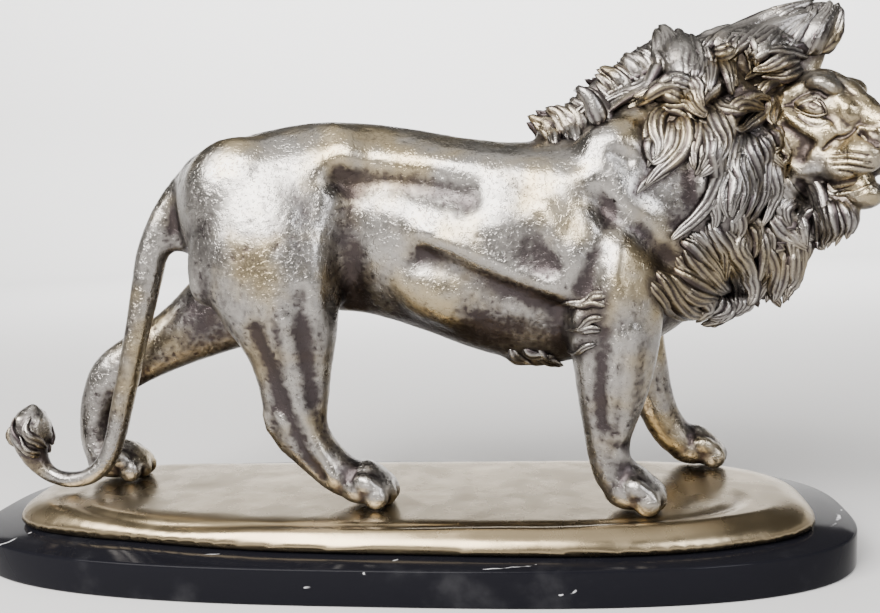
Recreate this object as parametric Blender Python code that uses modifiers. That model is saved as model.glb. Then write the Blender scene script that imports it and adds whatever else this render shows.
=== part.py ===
"""A standing lion cast in silvered bronze, on a cast ground plate, on a black marble base.

Metres, +Z up. The lion walks towards +X and turns its head towards -Y. The origin is the centre
of the marble's flat underside.
"""

import math
import random

import bmesh
import bpy
import numpy as np
from mathutils import Matrix, Vector
from mathutils.bvhtree import BVHTree

# Driving sizes, in metres. The lion's own forms are written in millimetres of a lion that is
# NOMINAL_LENGTH long from nose to tail, and are scaled as one figure to LION_LENGTH.
LION_LENGTH = 0.440
NOMINAL_LENGTH = 440.0
PLATE_THICKNESS = 0.012
PLATE_EDGE_WIDTH = 0.015
PLATE_FOOT_INSET = 0.002
MARBLE_THICKNESS = 0.017
MARBLE_BEVEL = 0.0012
MARBLE_REVEAL_X = 0.0192
MARBLE_REVEAL_NEAR = 0.012
MARBLE_REVEAL_FAR = 0.033
MARBLE_SQUARENESS = 2.9
SEAT_GAP = 0.0003
VOXEL = 0.0019
LION_TRIANGLES = 8100

UNIT = LION_LENGTH / NOMINAL_LENGTH
PLATE_Z = MARBLE_THICKNESS + SEAT_GAP
GROUND_Z = PLATE_Z + PLATE_THICKNESS + SEAT_GAP

# The head: its centre in the lion's millimetres, its turn towards the right, and its own scale.
HEAD_CENTRE = Vector((197.5, -3.0, 174.0))
HEAD_TURN = math.radians(-48.0)
HEAD_SCALE = 0.90


def clear_scene():
    for old in list(bpy.data.objects):
        bpy.data.objects.remove(old)


def new_collection(name):
    collection = bpy.data.collections.new(name)
    bpy.context.scene.collection.children.link(collection)
    return collection


def material(name, colour, roughness, metallic):
    made = bpy.data.materials.new(name)
    made.use_nodes = True
    shader = made.node_tree.nodes["Principled BSDF"]
    shader.inputs["Base Color"].default_value = (*colour, 1.0)
    shader.inputs["Roughness"].default_value = roughness
    shader.inputs["Metallic"].default_value = metallic
    made.diffuse_color = (*colour, 1.0)
    return made


def smooth_path(points, steps):
    """Catmull-Rom through tuples of numbers, so that radii are smoothed along with places."""
    padded = [points[0], *points, points[-1]]
    path = []
    for i in range(1, len(padded) - 2):
        p0, p1, p2, p3 = padded[i - 1 : i + 3]
        for k in range(steps):
            t = k / steps
            path.append(
                tuple(
                    0.5
                    * (
                        2 * b
                        + (c - a) * t
                        + (2 * a - 5 * b + 4 * c - d) * t * t
                        + (3 * b - a - 3 * c + d) * t**3
                    )
                    for a, b, c, d in zip(p0, p1, p2, p3)
                )
            )
    path.append(tuple(points[-1]))
    return path


def add_rings(bm, rings):
    """Skins rings of points and closes both ends with a fan."""
    rows = [[bm.verts.new(p) for p in ring] for ring in rings]
    count = len(rows[0])
    for low, high in zip(rows, rows[1:]):
        for i in range(count):
            j = (i + 1) % count
            bm.faces.new((low[i], low[j], high[j], high[i]))
    for row, flip in ((rows[0], True), (rows[-1], False)):
        middle = bm.verts.new(sum((v.co for v in row), Vector()) / count)
        for i in range(count):
            j = (i + 1) % count
            bm.faces.new((row[j], row[i], middle) if flip else (row[i], row[j], middle))


def add_ellipsoid(bm, centre, radii, tilt=0.0, turn=0.0, lean=0.0, segments=20):
    """A sphere stretched to radii, tilted nose-up, turned to the left and leaned, in degrees."""
    place = (
        Matrix.Translation(centre)
        @ Matrix.Rotation(math.radians(turn), 4, "Z")
        @ Matrix.Rotation(math.radians(-tilt), 4, "Y")
        @ Matrix.Rotation(math.radians(lean), 4, "X")
        @ Matrix.Diagonal((*radii, 1.0))
    )
    bmesh.ops.create_uvsphere(bm, u_segments=segments, v_segments=segments // 2, radius=1.0, matrix=place)


def add_limb(bm, stations, sides=18, steps=4):
    """A limb through stations (x, y, z, fore-and-aft radius, sideways radius)."""
    path = smooth_path(stations, steps)
    rings = []
    for i, (x, y, z, fore, side) in enumerate(path):
        before, after = path[max(i - 1, 0)], path[min(i + 1, len(path) - 1)]
        along = Vector([after[k] - before[k] for k in range(3)]).normalized()
        across = Vector((0, 1, 0))
        across = (across - along * across.dot(along)).normalized()
        front = across.cross(along)
        rings.append(
            [
                Vector((x, y, z)) + front * (fore * math.cos(a)) + across * (side * math.sin(a))
                for a in (2 * math.pi * k / sides for k in range(sides))
            ]
        )
    add_rings(bm, rings)


def add_trunk(bm, stations, sides=32, steps=4):
    """The trunk through stations (x, top, widest height, bottom, half width, y), in upright rings."""
    rings = []
    for x, top, middle, bottom, half, y in smooth_path(stations, steps):
        ring = []
        for k in range(sides):
            a = 2 * math.pi * k / sides
            c, s = math.cos(a), math.sin(a)
            rise = (top - middle) if s > 0 else (middle - bottom)
            wide = math.copysign(abs(c) ** 0.85, c)
            ring.append(Vector((x, y + half * wide, middle + rise * math.copysign(abs(s) ** 0.95, s))))
        rings.append(ring)
    add_rings(bm, rings)


# The trunk from rump to breast: x, top, widest height, bottom, half width, y.
TRUNK = (
    (-108, 160, 150, 138, 10, 0),
    (-103, 170, 148, 122, 24, 0),
    (-90, 176, 146, 108, 34, 0),
    (-66, 182, 144, 98, 40, 0),
    (-40, 186, 142, 92, 39, 0),
    (-14, 185, 138, 89, 35, 0),
    (12, 181, 134, 81, 37, 0),
    (40, 175, 128, 70, 41, 0),
    (66, 172, 124, 64, 43, 0),
    (90, 175, 124, 64, 44, 0),
    (112, 184, 128, 68, 43, 0),
    (134, 194, 134, 76, 38, 0),
    (154, 200, 142, 92, 30, 1),
)

NEAR_HIND_LEG = (
    (-64, -22, 152, 30, 19),
    (-58, -27, 127, 36, 21),
    (-53, -30, 103, 33, 19),
    (-48.5, -31, 85, 26.5, 16),
    (-47, -31, 71, 21.5, 13),
    (-46.5, -31, 58, 18.5, 11.5),
    (-46.5, -31, 46, 17, 10),
    (-45, -31, 36, 15.5, 9.5),
    (-37, -31, 25, 12, 9.5),
    (-27, -31, 15, 11, 10.5),
    (-18, -31, 9, 9, 11),
)
FAR_HIND_LEG = (
    (-66, 22, 150, 30, 19),
    (-70, 26, 124, 35, 20),
    (-84, 25, 102, 31, 17),
    (-106, 22, 87, 23, 14),
    (-127, 18, 75, 17, 12),
    (-147, 15, 65, 15, 10),
    (-161, 13, 56, 14, 9.5),
    (-169, 12, 44, 11, 9),
    (-172, 11, 31, 9.5, 9),
    (-171, 10, 19, 9.5, 10),
    (-166, 9, 9, 9, 11),
)
NEAR_FORE_LEG = (
    (99, -25, 152, 26, 17),
    (103, -31, 122, 27, 18),
    (106, -35, 99, 23.5, 17),
    (106.5, -36, 80, 21.5, 15.5),
    (105.5, -37, 62, 18.5, 13.5),
    (104, -37, 48, 15.5, 12),
    (102.5, -37, 34, 11.5, 10.5),
    (103, -37, 23, 10, 10.5),
    (107, -37, 11, 10, 12),
)
FAR_FORE_LEG = (
    (102, 25, 150, 26, 17),
    (110, 31, 121, 25, 17),
    (117, 34, 98, 21, 16),
    (121, 34, 78, 16.5, 13.5),
    (125.5, 34, 60, 14, 12),
    (129, 34, 45, 12.5, 11),
    (133.5, 34, 31, 11, 10),
    (139, 34, 20, 10.5, 10.5),
    (146, 34, 11, 10, 12),
)
# Paws: heel x, y, toe x, turn in degrees.
PAWS = (
    (-27, -31, 3, -4),
    (-177, 9, -139, 4),
    (100, -37, 129, -8),
    (139, 34, 170, 4),
)

TAIL = (
    (-92, 0, 166, 11, 10),
    (-104, -1, 159, 9, 8.5),
    (-114, -2, 149, 8, 8),
    (-121, -4, 136, 8.5, 8),
    (-126.5, -5, 121, 9, 8),
    (-130, -6, 106, 8.4, 7.8),
    (-133.5, -8, 90, 7.6, 7.3),
    (-137.5, -9, 74, 7.2, 7),
    (-142, -10, 57, 7, 6.8),
    (-146, -11, 42, 6.8, 6.5),
    (-149.5, -12, 28, 6.4, 6.2),
    (-155, -13, 15, 6.2, 6),
    (-164, -14, 7.5, 5.8, 5.8),
    (-175, -14, 5.2, 5.4, 5.4),
    (-186, -13, 7.5, 5.4, 5.4),
    (-194, -12, 14, 6.4, 6.4),
    (-197.5, -11, 23, 9.5, 9.0),
    (-197.5, -10, 32, 11.5, 10.5),
    (-196, -9, 39, 9.5, 9.0),
    (-193, -9, 44, 4.0, 4.0),
)

# Muscles on both flanks: x, y, z, radii, tilt, for the right side; the left side mirrors them.
MUSCLES = (
    (-70, -24, 148, 30, 18, 32, 20),
    (-34, -25, 122, 15, 15, 32, -8),
    (-86, -26, 122, 12, 13, 27, -12),
    (58, -28, 130, 38, 16, 24, 5),
    (72, -30, 106, 26, 13, 20, 25),
    (28, -25, 106, 32, 13, 21, -24),
    (108, -27, 158, 21, 15, 23, -30),
    (94, -36, 122, 13, 10, 26, 12),
    (118, -35, 118, 14, 10, 24, -8),
)

# Hollows and ridges pressed into the flanks: x and z along the line, reach, and height.
FLANK_LINES = (
    (((-14, 151), (-16, 128), (-18, 100)), 10, -4.0),
    (((-18, 158), (10, 154), (40, 146)), 8, -4.0),
    (((-24, 166), (19, 163), (56, 160), (86, 155)), 8, 2.0),
    (((-26, 184), (-18, 176), (-14, 166)), 7, 2.5),
    (((20, 130), (40, 120), (58, 111), (84, 101)), 7, 2.6),
    (((20, 119), (44, 109), (58, 103), (80, 95)), 7, -2.6),
    (((99, 147), (103, 136), (100, 121), (93, 105), (86, 97)), 5, -5.0),
    (((76, 139), (82, 126), (86, 114), (82, 105)), 8, 2.5),
    (((101, 141), (115, 129), (131, 114)), 5, -4.5),
    (((101, 125), (105, 114), (108, 99)), 8, 1.8),
    (((109, 163), (112, 160)), 4, -2.0),
    (((-24, 147), (-28, 119), (-30, 98)), 7, 1.5),
    (((-60, 88), (-54, 66), (-50, 48)), 4, -1.8),
    (((-37, 103), (-37, 77), (-36, 53)), 4, -1.6),
    (((101, 85), (99, 63), (100, 41)), 3.5, -1.6),
    (((114, 85), (111, 63), (109, 36)), 3.5, 1.3),
    (((-42, 50), (-35, 33), (-27, 16)), 3.5, 1.2),
)


def press_lines(mesh, lines):
    """Moves the mesh's points along their normals, near lines drawn on the flanks."""
    mesh.transform(Matrix.Scale(1 / UNIT, 4) @ Matrix.Translation((0, 0, -GROUND_Z)))
    count = len(mesh.vertices)
    spots = np.empty(count * 3)
    mesh.vertices.foreach_get("co", spots)
    spots = spots.reshape(-1, 3)
    normals = np.array([v.normal[:] for v in mesh.vertices])
    shift = np.zeros(count)
    for points, reach, height in lines:
        nearest = np.full(count, 1e9)
        for x, z in smooth_path(points, 8):
            nearest = np.minimum(nearest, (spots[:, 0] - x) ** 2 + (spots[:, 2] - z) ** 2)
        facing = np.clip(np.abs(normals[:, 1]) * 1.6, 0, 1) * (np.abs(spots[:, 1]) > 14)
        outward = np.sign(spots[:, 1]) * normals[:, 1] > 0
        shift += height * np.exp(-nearest / reach**2) * facing * outward
    spots += normals * shift[:, None]
    mesh.vertices.foreach_set("co", spots.ravel())
    mesh.transform(Matrix.Translation((0, 0, GROUND_Z)) @ Matrix.Scale(UNIT, 4))


def add_paw(bm, heel, y, toe, turn):
    """A broad pad with four toes that curl down at the front."""
    length = toe - heel
    spin = math.radians(turn)
    ahead, left = Vector((math.cos(spin), math.sin(spin), 0)), Vector((-math.sin(spin), math.cos(spin), 0))
    start = Vector((heel, y, 0))
    pad = start + ahead * (0.42 * length) + Vector((0, 0, 9.0))
    add_ellipsoid(bm, pad, (0.42 * length, 12.6, 9.2), turn=turn)
    instep = start + ahead * (0.50 * length) + Vector((0, 0, 12.5))
    add_ellipsoid(bm, instep, (0.30 * length, 10.6, 9.0), turn=turn)
    for side in (-1.5, -0.5, 0.5, 1.5):
        reach = (0.79 - 0.045 * side * side) * length
        centre = start + ahead * reach + left * (side * 6.6) + Vector((0, 0, 7.4))
        add_ellipsoid(bm, centre, (7.2, 4.2, 7.6), turn=turn + 7 * side)


def head_place(local):
    """A point of the head's own frame, in the lion's millimetres."""
    return HEAD_CENTRE + Matrix.Rotation(HEAD_TURN, 3, "Z") @ (Vector(local) * HEAD_SCALE)


def add_head_form(bm, centre, radii, tilt=0.0, turn=0.0, lean=0.0):
    add_ellipsoid(
        bm,
        head_place(centre),
        [HEAD_SCALE * r for r in radii],
        tilt,
        turn + math.degrees(HEAD_TURN),
        lean,
    )


# Forms of the head on its centre line: x, z, radii, tilt.
HEAD_MIDDLE = (
    (0, 7, 27, 23, 20, 0),
    (13, 17, 15, 15, 10, -25),
    (26, 8, 17, 8.0, 9, -38),
    (38, -1, 10, 7.5, 7.5, -30),
    (45.5, -8.5, 5.5, 8.2, 5.5, 0),
    (30, -13, 14, 12, 13, 0),
    (33, -35.5, 10.5, 9.5, 8.0, 8),
    (15, -30, 24, 13, 9.5, 8),
)
# Paired forms of the head: x, y, z, radii, tilt, turn.
HEAD_PAIRS = (
    (19, -11.5, 18, 9, 6.5, 5, -25, 20),
    (34, -8.2, -18, 13, 8.6, 10.5, 0, 12),
    (4, -17, -5, 18, 8.5, 14, -10, 14),
    (20, -12.5, -2, 10, 6.0, 8, -20, 16),
    (4, -13, -22, 18, 8.5, 11, 12, 10),
    (15.5, -14, 9.5, 5.2, 4.6, 4.6, 0, 0),
    (-19, -25, 22, 5, 11, 12, 0, 40),
)


def add_head(bm):
    for x, z, *radii, tilt in HEAD_MIDDLE:
        add_head_form(bm, (x, 0, z), radii, tilt)
    for x, y, z, rx, ry, rz, tilt, turn in HEAD_PAIRS:
        for side in (1, -1):
            add_head_form(bm, (x, side * y, z), (rx, ry, rz), tilt, side * turn)


# Sections of the mane from the shoulders to the face: centre x, y, z, lean back, turn, top
# radius, bottom radius, side radius. Degrees and the lion's millimetres.
MANE = (
    (103, 0, 126, 32, 0, 50, 52, 41),
    (132, 1, 145, 25, 3, 55, 60, 45),
    (160, 3, 156, 18, 14, 57, 62, 44),
    (182, 1, 166, 8, 34, 50, 54, 38),
    (197, -2, 172, 0, 48, 35, 44, 27),
)
MANE_ROWS = ((0.93, 15), (0.74, 15), (0.57, 14))


def mane_section(s):
    """The mane's section at s, from 0 at the shoulders to 1 at the face."""
    place = max(0.0, min(1.0, s)) * (len(MANE) - 1)
    i = min(int(place), len(MANE) - 2)
    t = place - i
    return [a + (b - a) * t for a, b in zip(MANE[i], MANE[i + 1])]


def mane_point(s, angle, lift=0.0):
    """A point of the mane's surface: angle 0 is the crest, and negative is the lion's right."""
    x, y, z, lean, turn, top, bottom, side = mane_section(s)
    up = Vector((-math.sin(math.radians(lean)), 0, math.cos(math.radians(lean))))
    across = Vector((math.sin(math.radians(turn)), math.cos(math.radians(turn)), 0))
    c, k = math.cos(math.radians(angle)), math.sin(math.radians(angle))
    tall = (top if c > 0 else bottom) + lift
    return Vector((x, y, z)) + up * (tall * c) + across * ((side + lift) * k)


def mane_normal(s, angle):
    return (mane_point(s, angle, 1.0) - mane_point(s, angle)).normalized()


def add_mane_bulk(bm):
    rings = []
    for k in range(17):
        s = k / 16
        rings.append([mane_point(s, 360 * i / 32, -4.0) for i in range(32)])
    add_rings(bm, rings)


def add_lock(bm, path, normals, width, thickness, sides=8):
    """A leaf-shaped lock of hair along path, flat against its normals, with a drawn-out tip."""
    rings = []
    count = len(path)
    for i, (point, normal) in enumerate(zip(path, normals)):
        t = i / (count - 1)
        along = (path[min(i + 1, count - 1)] - path[max(i - 1, 0)]).normalized()
        across = along.cross(normal).normalized()
        out = across.cross(along)
        swell = (0.55 + 0.45 * math.sin(math.pi * min(1.0, t * 1.6))) * (1.0 - t**2.6) + 0.05
        rings.append(
            [
                point + across * (0.5 * width * swell * math.cos(a)) + out * (thickness * swell * math.sin(a))
                for a in (2 * math.pi * n / sides for n in range(sides))
            ]
        )
    add_rings(bm, rings)


def add_mane_locks(bm, chance):
    """Rows of locks that sweep back from the face and fall down the sides, each over the next."""
    for row, (s_root, count) in enumerate(MANE_ROWS):
        for k in range(count):
            angle = -180 + 360 * (k + 0.5 * (row % 2) + chance.uniform(-0.2, 0.2)) / count
            slope = math.sin(math.radians(angle))
            top = math.cos(math.radians(angle))
            run = 0.30 + 0.06 * top + chance.uniform(-0.03, 0.03)
            fall = 26 * slope + chance.uniform(-7, 7)
            bend = chance.uniform(-9, 9)
            path, normals = [], []
            for i in range(9):
                t = i / 8
                s = s_root + 0.06 - run * t
                around = angle + fall * t**1.3 + bend * math.sin(math.pi * t)
                lift = -1.5 + 3.0 * t * t + 3.0 * math.sin(math.pi * t) * max(top, 0.0)
                point = mane_point(max(s, 0.0), around, lift)
                if s < 0:
                    point += Vector((90 * s, 0, -6 * s))
                path.append(point)
                normals.append(mane_normal(max(s, 0.0), around))
            add_lock(bm, path, normals, chance.uniform(12.0, 15.0), chance.uniform(3.4, 4.4))


# Large locks seen on a flank, as x and z at the lion's side, with a width. They lie on the mane
# whichever way it faces there, and the left side wears the same locks.
SIDE_LOCKS = (
    (((137, 195), (128, 196), (118, 193), (112, 188), (107, 181)), 9),
    (((126, 186), (132, 191), (139, 190), (145, 185), (147, 176)), 11),
    (((131, 181), (130, 173), (129, 165), (123, 158)), 10),
    (((139, 181), (141, 168), (139, 158), (131, 152), (119, 148)), 12),
    (((155, 172), (157, 164), (152, 156), (144, 150)), 11),
    (((151, 155), (152, 145), (149, 135), (141, 127), (130, 123)), 11),
    (((143, 172), (148, 164), (151, 152), (151, 138)), 9),
    (((164, 164), (162, 152), (157, 140), (156, 130)), 11),
    (((170, 168), (172, 156), (176, 143), (172, 135), (165, 131)), 12),
    (((179, 137), (183, 130), (191, 124), (199, 117)), 12),
    (((185, 147), (193, 138), (199, 128), (198, 117)), 11),
    (((160, 134), (162, 124), (169, 117), (167, 112)), 9),
    (((154, 132), (160, 119), (169, 110), (175, 100), (174, 89)), 11),
    (((182, 125), (181, 113), (181, 100), (186, 88)), 11),
    (((135, 123), (144, 114), (153, 107), (161, 101)), 9),
    (((125, 109), (136, 103), (147, 100), (160, 101)), 9),
    (((149, 130), (156, 120), (163, 111), (172, 106)), 9),
    (((130, 104), (139, 97), (150, 91), (160, 87)), 10),
    (((153, 207), (149, 197), (150, 189), (151, 183)), 9),
    (((159, 211), (155, 201), (156, 192), (160, 186)), 9),
    (((148, 191), (151, 184), (148, 175), (143, 170)), 9),
    (((176, 185), (168, 185), (161, 180), (160, 173)), 9),
    (((173, 179), (170, 173), (164, 171), (160, 165)), 9),
    (((179, 174), (176, 166), (178, 159), (184, 156)), 9),
    (((179, 156), (182, 149), (184, 141), (181, 135)), 9),
    (((171, 194), (179, 199), (187, 202), (196, 205)), 8),
)

# Single locks that make the outline: points, width, thickness and the way they face.
OUTLINE_LOCKS = (
    (((176, 2, 200), (188, 0, 216), (202, -2, 227), (214, -3, 231)), 24, 8),
    (((186, 0, 196), (198, -2, 210), (208, -4, 222), (213, -5, 226)), 22, 7),
    (((160, 2, 196), (166, 2, 210), (176, 1, 220), (190, 0, 226)), 24, 8),
    (((139, -4, 194), (137, -2, 208), (135, 0, 219), (132, 0, 228)), 23, 9),
    (((147, -2, 196), (147, -1, 208), (145, 0, 217), (142, 0, 223)), 20, 8),
    (((120, 0, 194), (121, 0, 202), (123, 0, 209), (127, 0, 215)), 18, 8),
    (((102, 0, 182), (105, 0, 192), (108, 0, 200), (112, 0, 206)), 18, 8),
    (((82, 0, 172), (80, 0, 178), (77, 0, 183), (73, 0, 187)), 16, 8),
    (((92, 0, 176), (91, 0, 182), (90, 0, 188), (88, 0, 192)), 16, 8),
    (((200, -16, 142), (205, -18, 132), (207, -18, 124), (205, -17, 116)), 18, 8),
    (((206, -22, 138), (211, -25, 130), (213, -25, 124), (212, -24, 119)), 14, 7),
    (((190, -8, 126), (191, -9, 114), (189, -9, 102), (185, -9, 90)), 17, 8),
    (((180, -4, 118), (181, -5, 108), (180, -5, 100), (176, -5, 92)), 16, 8),
    (((196, -10, 130), (197, -11, 122), (197, -12, 116), (195, -12, 110)), 14, 7),
)

# The ridge of short upright hair from the withers to the crown: x, y, z and two radii.
RIDGE = (
    (74, 0, 174, 6, 5),
    (88, 0, 181, 7, 6),
    (100, 0, 190, 8, 7),
    (112, 0, 198, 8, 8),
    (124, 0, 206, 9, 9),
    (136, 0, 210, 9, 10),
    (150, 0, 206, 8, 10),
)

# Tufts on the elbow and under the breast.
TUFTS = (
    (((98, -41, 101), (92, -43, 100), (86, -44, 98), (80, -43, 97)), 8, 3.5),
    (((99, -42, 94), (93, -45, 92), (87, -46, 91), (80, -45, 91)), 8, 3.5),
    (((96, -42, 84), (91, -44, 81), (86, -44, 79), (81, -43, 77)), 7, 3.2),
    (((58, -6, 72), (62, -6, 67), (68, -6, 64), (76, -6, 63)), 14, 5),
    (((66, -12, 71), (71, -13, 67), (77, -13, 65), (84, -13, 64)), 12, 5),
    (((58, 6, 72), (63, 6, 67), (70, 6, 64), (79, 6, 63)), 14, 5),
)


def add_side_locks(bm, surface):
    """Lays the side locks on surface, on both flanks."""
    for points, width in SIDE_LOCKS:
        for side in (-1, 1):
            path, normals = [], []
            last = side * 30.0
            for i, (x, z) in enumerate(smooth_path(points, 4)):
                spot, normal, *_ = surface.ray_cast(Vector((x, side * 200, z)), Vector((0, -side, 0)))
                if spot is None or side * spot.y < 2:
                    spot, normal = Vector((x, last, z)), Vector((0, side, 0))
                last = spot.y
                rise = 0.5 + 0.12 * i
                path.append(spot + normal * rise)
                normals.append(normal)
            add_lock(bm, path, normals, width, 0.36 * width, sides=10)


def add_hand_locks(bm, locks, outward):
    for points, width, thickness in locks:
        path = [Vector(p) for p in smooth_path(points, 4)]
        normals = [outward for _ in path]
        add_lock(bm, path, normals, width, thickness, sides=10)


def mesh_object(name, bm, collection, scale=UNIT):
    """An object whose mesh is bm in the lion's millimetres, set down on the ground plate."""
    mesh = bpy.data.meshes.new(name)
    bm.to_mesh(mesh)
    bm.free()
    mesh.transform(Matrix.Translation((0, 0, GROUND_Z)) @ Matrix.Scale(scale, 4))
    made = bpy.data.objects.new(name, mesh)
    collection.objects.link(made)
    return made


def remesh(obj, voxel, passes, factor=0.5):
    """Fuses what overlaps into one skin and eases its creases."""
    fuse = obj.modifiers.new("fuse", "REMESH")
    fuse.mode = "VOXEL"
    fuse.voxel_size = voxel
    ease = obj.modifiers.new("ease", "SMOOTH")
    ease.factor = factor
    ease.iterations = passes


def applied_copy(obj):
    """The mesh that obj's modifiers make."""
    shown = obj.evaluated_get(bpy.context.evaluated_depsgraph_get())
    return bpy.data.meshes.new_from_object(shown)


def applied_mesh(obj):
    """The mesh that obj's modifiers make; obj itself is removed."""
    mesh = applied_copy(obj)
    bpy.data.objects.remove(obj)
    return mesh


def body_forms(bm):
    add_trunk(bm, TRUNK)
    for leg in (NEAR_HIND_LEG, FAR_HIND_LEG, NEAR_FORE_LEG, FAR_FORE_LEG):
        add_limb(bm, leg)
    for x, y, z, rx, ry, rz, tilt in MUSCLES:
        for side in (1, -1):
            add_ellipsoid(bm, (x, side * y, z), (rx, ry, rz), tilt)
    add_limb(bm, TAIL, sides=14)
    for side in (-4.2, 4.2):
        add_ellipsoid(bm, (-109, side, 129), (7.5, 5.4, 6.6), tilt=20)
    add_ellipsoid(bm, (-98, 0, 128), (14, 8, 10))


def make_lion(collection, finish):
    chance = random.Random(11)
    bm = bmesh.new()
    body_forms(bm)
    body = mesh_object("lion_body_forms", bm, collection)
    remesh(body, VOXEL, 16, 0.6)
    body_mesh = applied_mesh(body)
    press_lines(body_mesh, FLANK_LINES)

    under = bmesh.new()
    body_forms(under)
    add_head(under)
    add_mane_bulk(under)
    surface = BVHTree.FromBMesh(under)
    under.free()

    bm = bmesh.new()
    for paw in PAWS:
        add_paw(bm, *paw)
    add_head(bm)
    add_mane_bulk(bm)
    add_mane_locks(bm, chance)
    add_side_locks(bm, surface)
    add_limb(bm, RIDGE, sides=14)
    add_hand_locks(bm, OUTLINE_LOCKS, Vector((0, -1, 0)))
    add_hand_locks(bm, TUFTS, Vector((0, -1, 0)))
    lion = mesh_object("lion", bm, collection)
    whole = bmesh.new()
    whole.from_mesh(lion.data)
    whole.from_mesh(body_mesh)
    whole.to_mesh(lion.data)
    whole.free()
    bpy.data.meshes.remove(body_mesh)
    remesh(lion, VOXEL, 2, 0.5)

    # The soles are cut flat, just clear of the plate that the lion stands on.
    lion.data = applied_copy(lion)
    lion.modifiers.clear()
    cut_flat(lion.data, GROUND_Z)
    thin = lion.modifiers.new("thin", "DECIMATE")
    thin.ratio = LION_TRIANGLES / triangle_count(lion.data)
    lion.data.materials.append(finish)
    return lion


def triangle_count(mesh):
    return sum(len(face.vertices) - 2 for face in mesh.polygons)


def cut_flat(mesh, height):
    """Cuts away all below height and closes the cut."""
    bm = bmesh.new()
    bm.from_mesh(mesh)
    cut = bmesh.ops.bisect_plane(
        bm,
        geom=[*bm.verts, *bm.edges, *bm.faces],
        plane_co=(0, 0, height),
        plane_no=(0, 0, 1),
        clear_inner=True,
    )
    rim = [e for e in cut["geom_cut"] if isinstance(e, bmesh.types.BMEdge)]
    bmesh.ops.holes_fill(bm, edges=rim, sides=0)
    bmesh.ops.triangulate(bm, faces=bm.faces[:])
    bm.to_mesh(mesh)
    bm.free()


# The plate's outline, in the lion's millimetres, and the waves of its edge: how many round the
# plate, how deep as a share of its size, and their phase.
PLATE_CENTRE = (0.0, -9.0)
PLATE_HALF = (196.0, 61.5)
PLATE_WAVES = ((1, 0.038, 0.58), (2, 0.028, 2.24), (3, 0.042, -0.82), (5, 0.018, 2.49))
PLATE_SQUARENESS = 3.2


def plate_outline(angle, inset=0.0):
    """A long egg shape with a wavering edge, in metres."""
    c, s = math.cos(angle), math.sin(angle)
    swing = 1 + sum(depth * math.sin(n * angle + phase) for n, depth, phase in PLATE_WAVES)
    power = 2 / PLATE_SQUARENESS
    x = (PLATE_HALF[0] * UNIT * swing - inset) * math.copysign(abs(c) ** power, c)
    y = (PLATE_HALF[1] * UNIT * swing - inset) * math.copysign(abs(s) ** power, s)
    return x + PLATE_CENTRE[0] * UNIT, y + PLATE_CENTRE[1] * UNIT


def make_plate(collection, finish):
    """The ground plate: flat under the paws, with a rounded edge that turns down to the marble."""
    bm = bmesh.new()
    sides = 72
    profile = [(PLATE_FOOT_INSET, 0.0)]
    for k in range(6):
        turn = math.radians(90 * k / 5)
        profile.append(
            (PLATE_EDGE_WIDTH * (1 - math.cos(turn)), PLATE_THICKNESS * (0.18 + 0.82 * math.sin(turn)))
        )
    rings = []
    for inset, height in profile:
        ring = []
        for k in range(sides):
            x, y = plate_outline(2 * math.pi * k / sides, inset)
            ring.append(Vector((x, y, PLATE_Z + height)))
        rings.append(ring)
    rows = [[bm.verts.new(p) for p in ring] for ring in rings]
    for low, high in zip(rows, rows[1:]):
        for i in range(sides):
            j = (i + 1) % sides
            bm.faces.new((low[i], low[j], high[j], high[i]))
    bm.faces.new(list(reversed(rows[0])))
    bm.faces.new(rows[-1])
    mesh = bpy.data.meshes.new("ground_plate")
    bm.to_mesh(mesh)
    bm.free()
    mesh.shade_smooth()
    plate = bpy.data.objects.new("ground_plate", mesh)
    plate.data.materials.append(finish)
    collection.objects.link(plate)
    return plate


def make_marble(collection, finish):
    """The marble base: a long rounded oval with upright sides and a fine bevel at both edges."""
    spots = [plate_outline(2 * math.pi * k / 360) for k in range(360)]
    low_x, high_x = min(x for x, _ in spots), max(x for x, _ in spots)
    low_y, high_y = min(y for _, y in spots), max(y for _, y in spots)
    half_x = (high_x - low_x) / 2 + MARBLE_REVEAL_X
    half_y = (high_y - low_y + MARBLE_REVEAL_NEAR + MARBLE_REVEAL_FAR) / 2
    power = 2 / MARBLE_SQUARENESS
    sides = 96
    bm = bmesh.new()
    rows = []
    for height in (0.0, MARBLE_THICKNESS):
        row = []
        for k in range(sides):
            a = 2 * math.pi * k / sides
            c, s = math.cos(a), math.sin(a)
            row.append(
                bm.verts.new(
                    (
                        half_x * math.copysign(abs(c) ** power, c),
                        half_y * math.copysign(abs(s) ** power, s),
                        height,
                    )
                )
            )
        rows.append(row)
    for i in range(sides):
        j = (i + 1) % sides
        bm.faces.new((rows[0][i], rows[0][j], rows[1][j], rows[1][i]))
    bm.faces.new(list(reversed(rows[0])))
    bm.faces.new(rows[1])
    mesh = bpy.data.meshes.new("marble_base")
    bm.to_mesh(mesh)
    bm.free()
    marble = bpy.data.objects.new("marble_base", mesh)
    marble.data.materials.append(finish)
    collection.objects.link(marble)
    edge = marble.modifiers.new("edge", "BEVEL")
    edge.width = MARBLE_BEVEL
    edge.segments = 1
    edge.limit_method = "ANGLE"
    edge.angle_limit = math.radians(50)
    return marble


def main():
    clear_scene()
    figure = new_collection("Lion figurine")
    silvered = material("silvered bronze", (0.62, 0.57, 0.49), 0.32, 1.0)
    satin = material("satin silvered plate", (0.72, 0.65, 0.52), 0.25, 1.0)
    stone = material("black marble", (0.02, 0.02, 0.022), 0.12, 0.0)
    make_marble(figure, stone)
    make_plate(figure, satin)
    make_lion(figure, silvered)


main()
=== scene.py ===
"""The bronze lion figurine dressed over its CAD frame: cast lion, mane, ground plate and marble base."""

import math
import random

import bmesh
import bpy
import numpy as np
from mathutils import Matrix, Vector, noise
from mathutils.bvhtree import BVHTree


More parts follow.
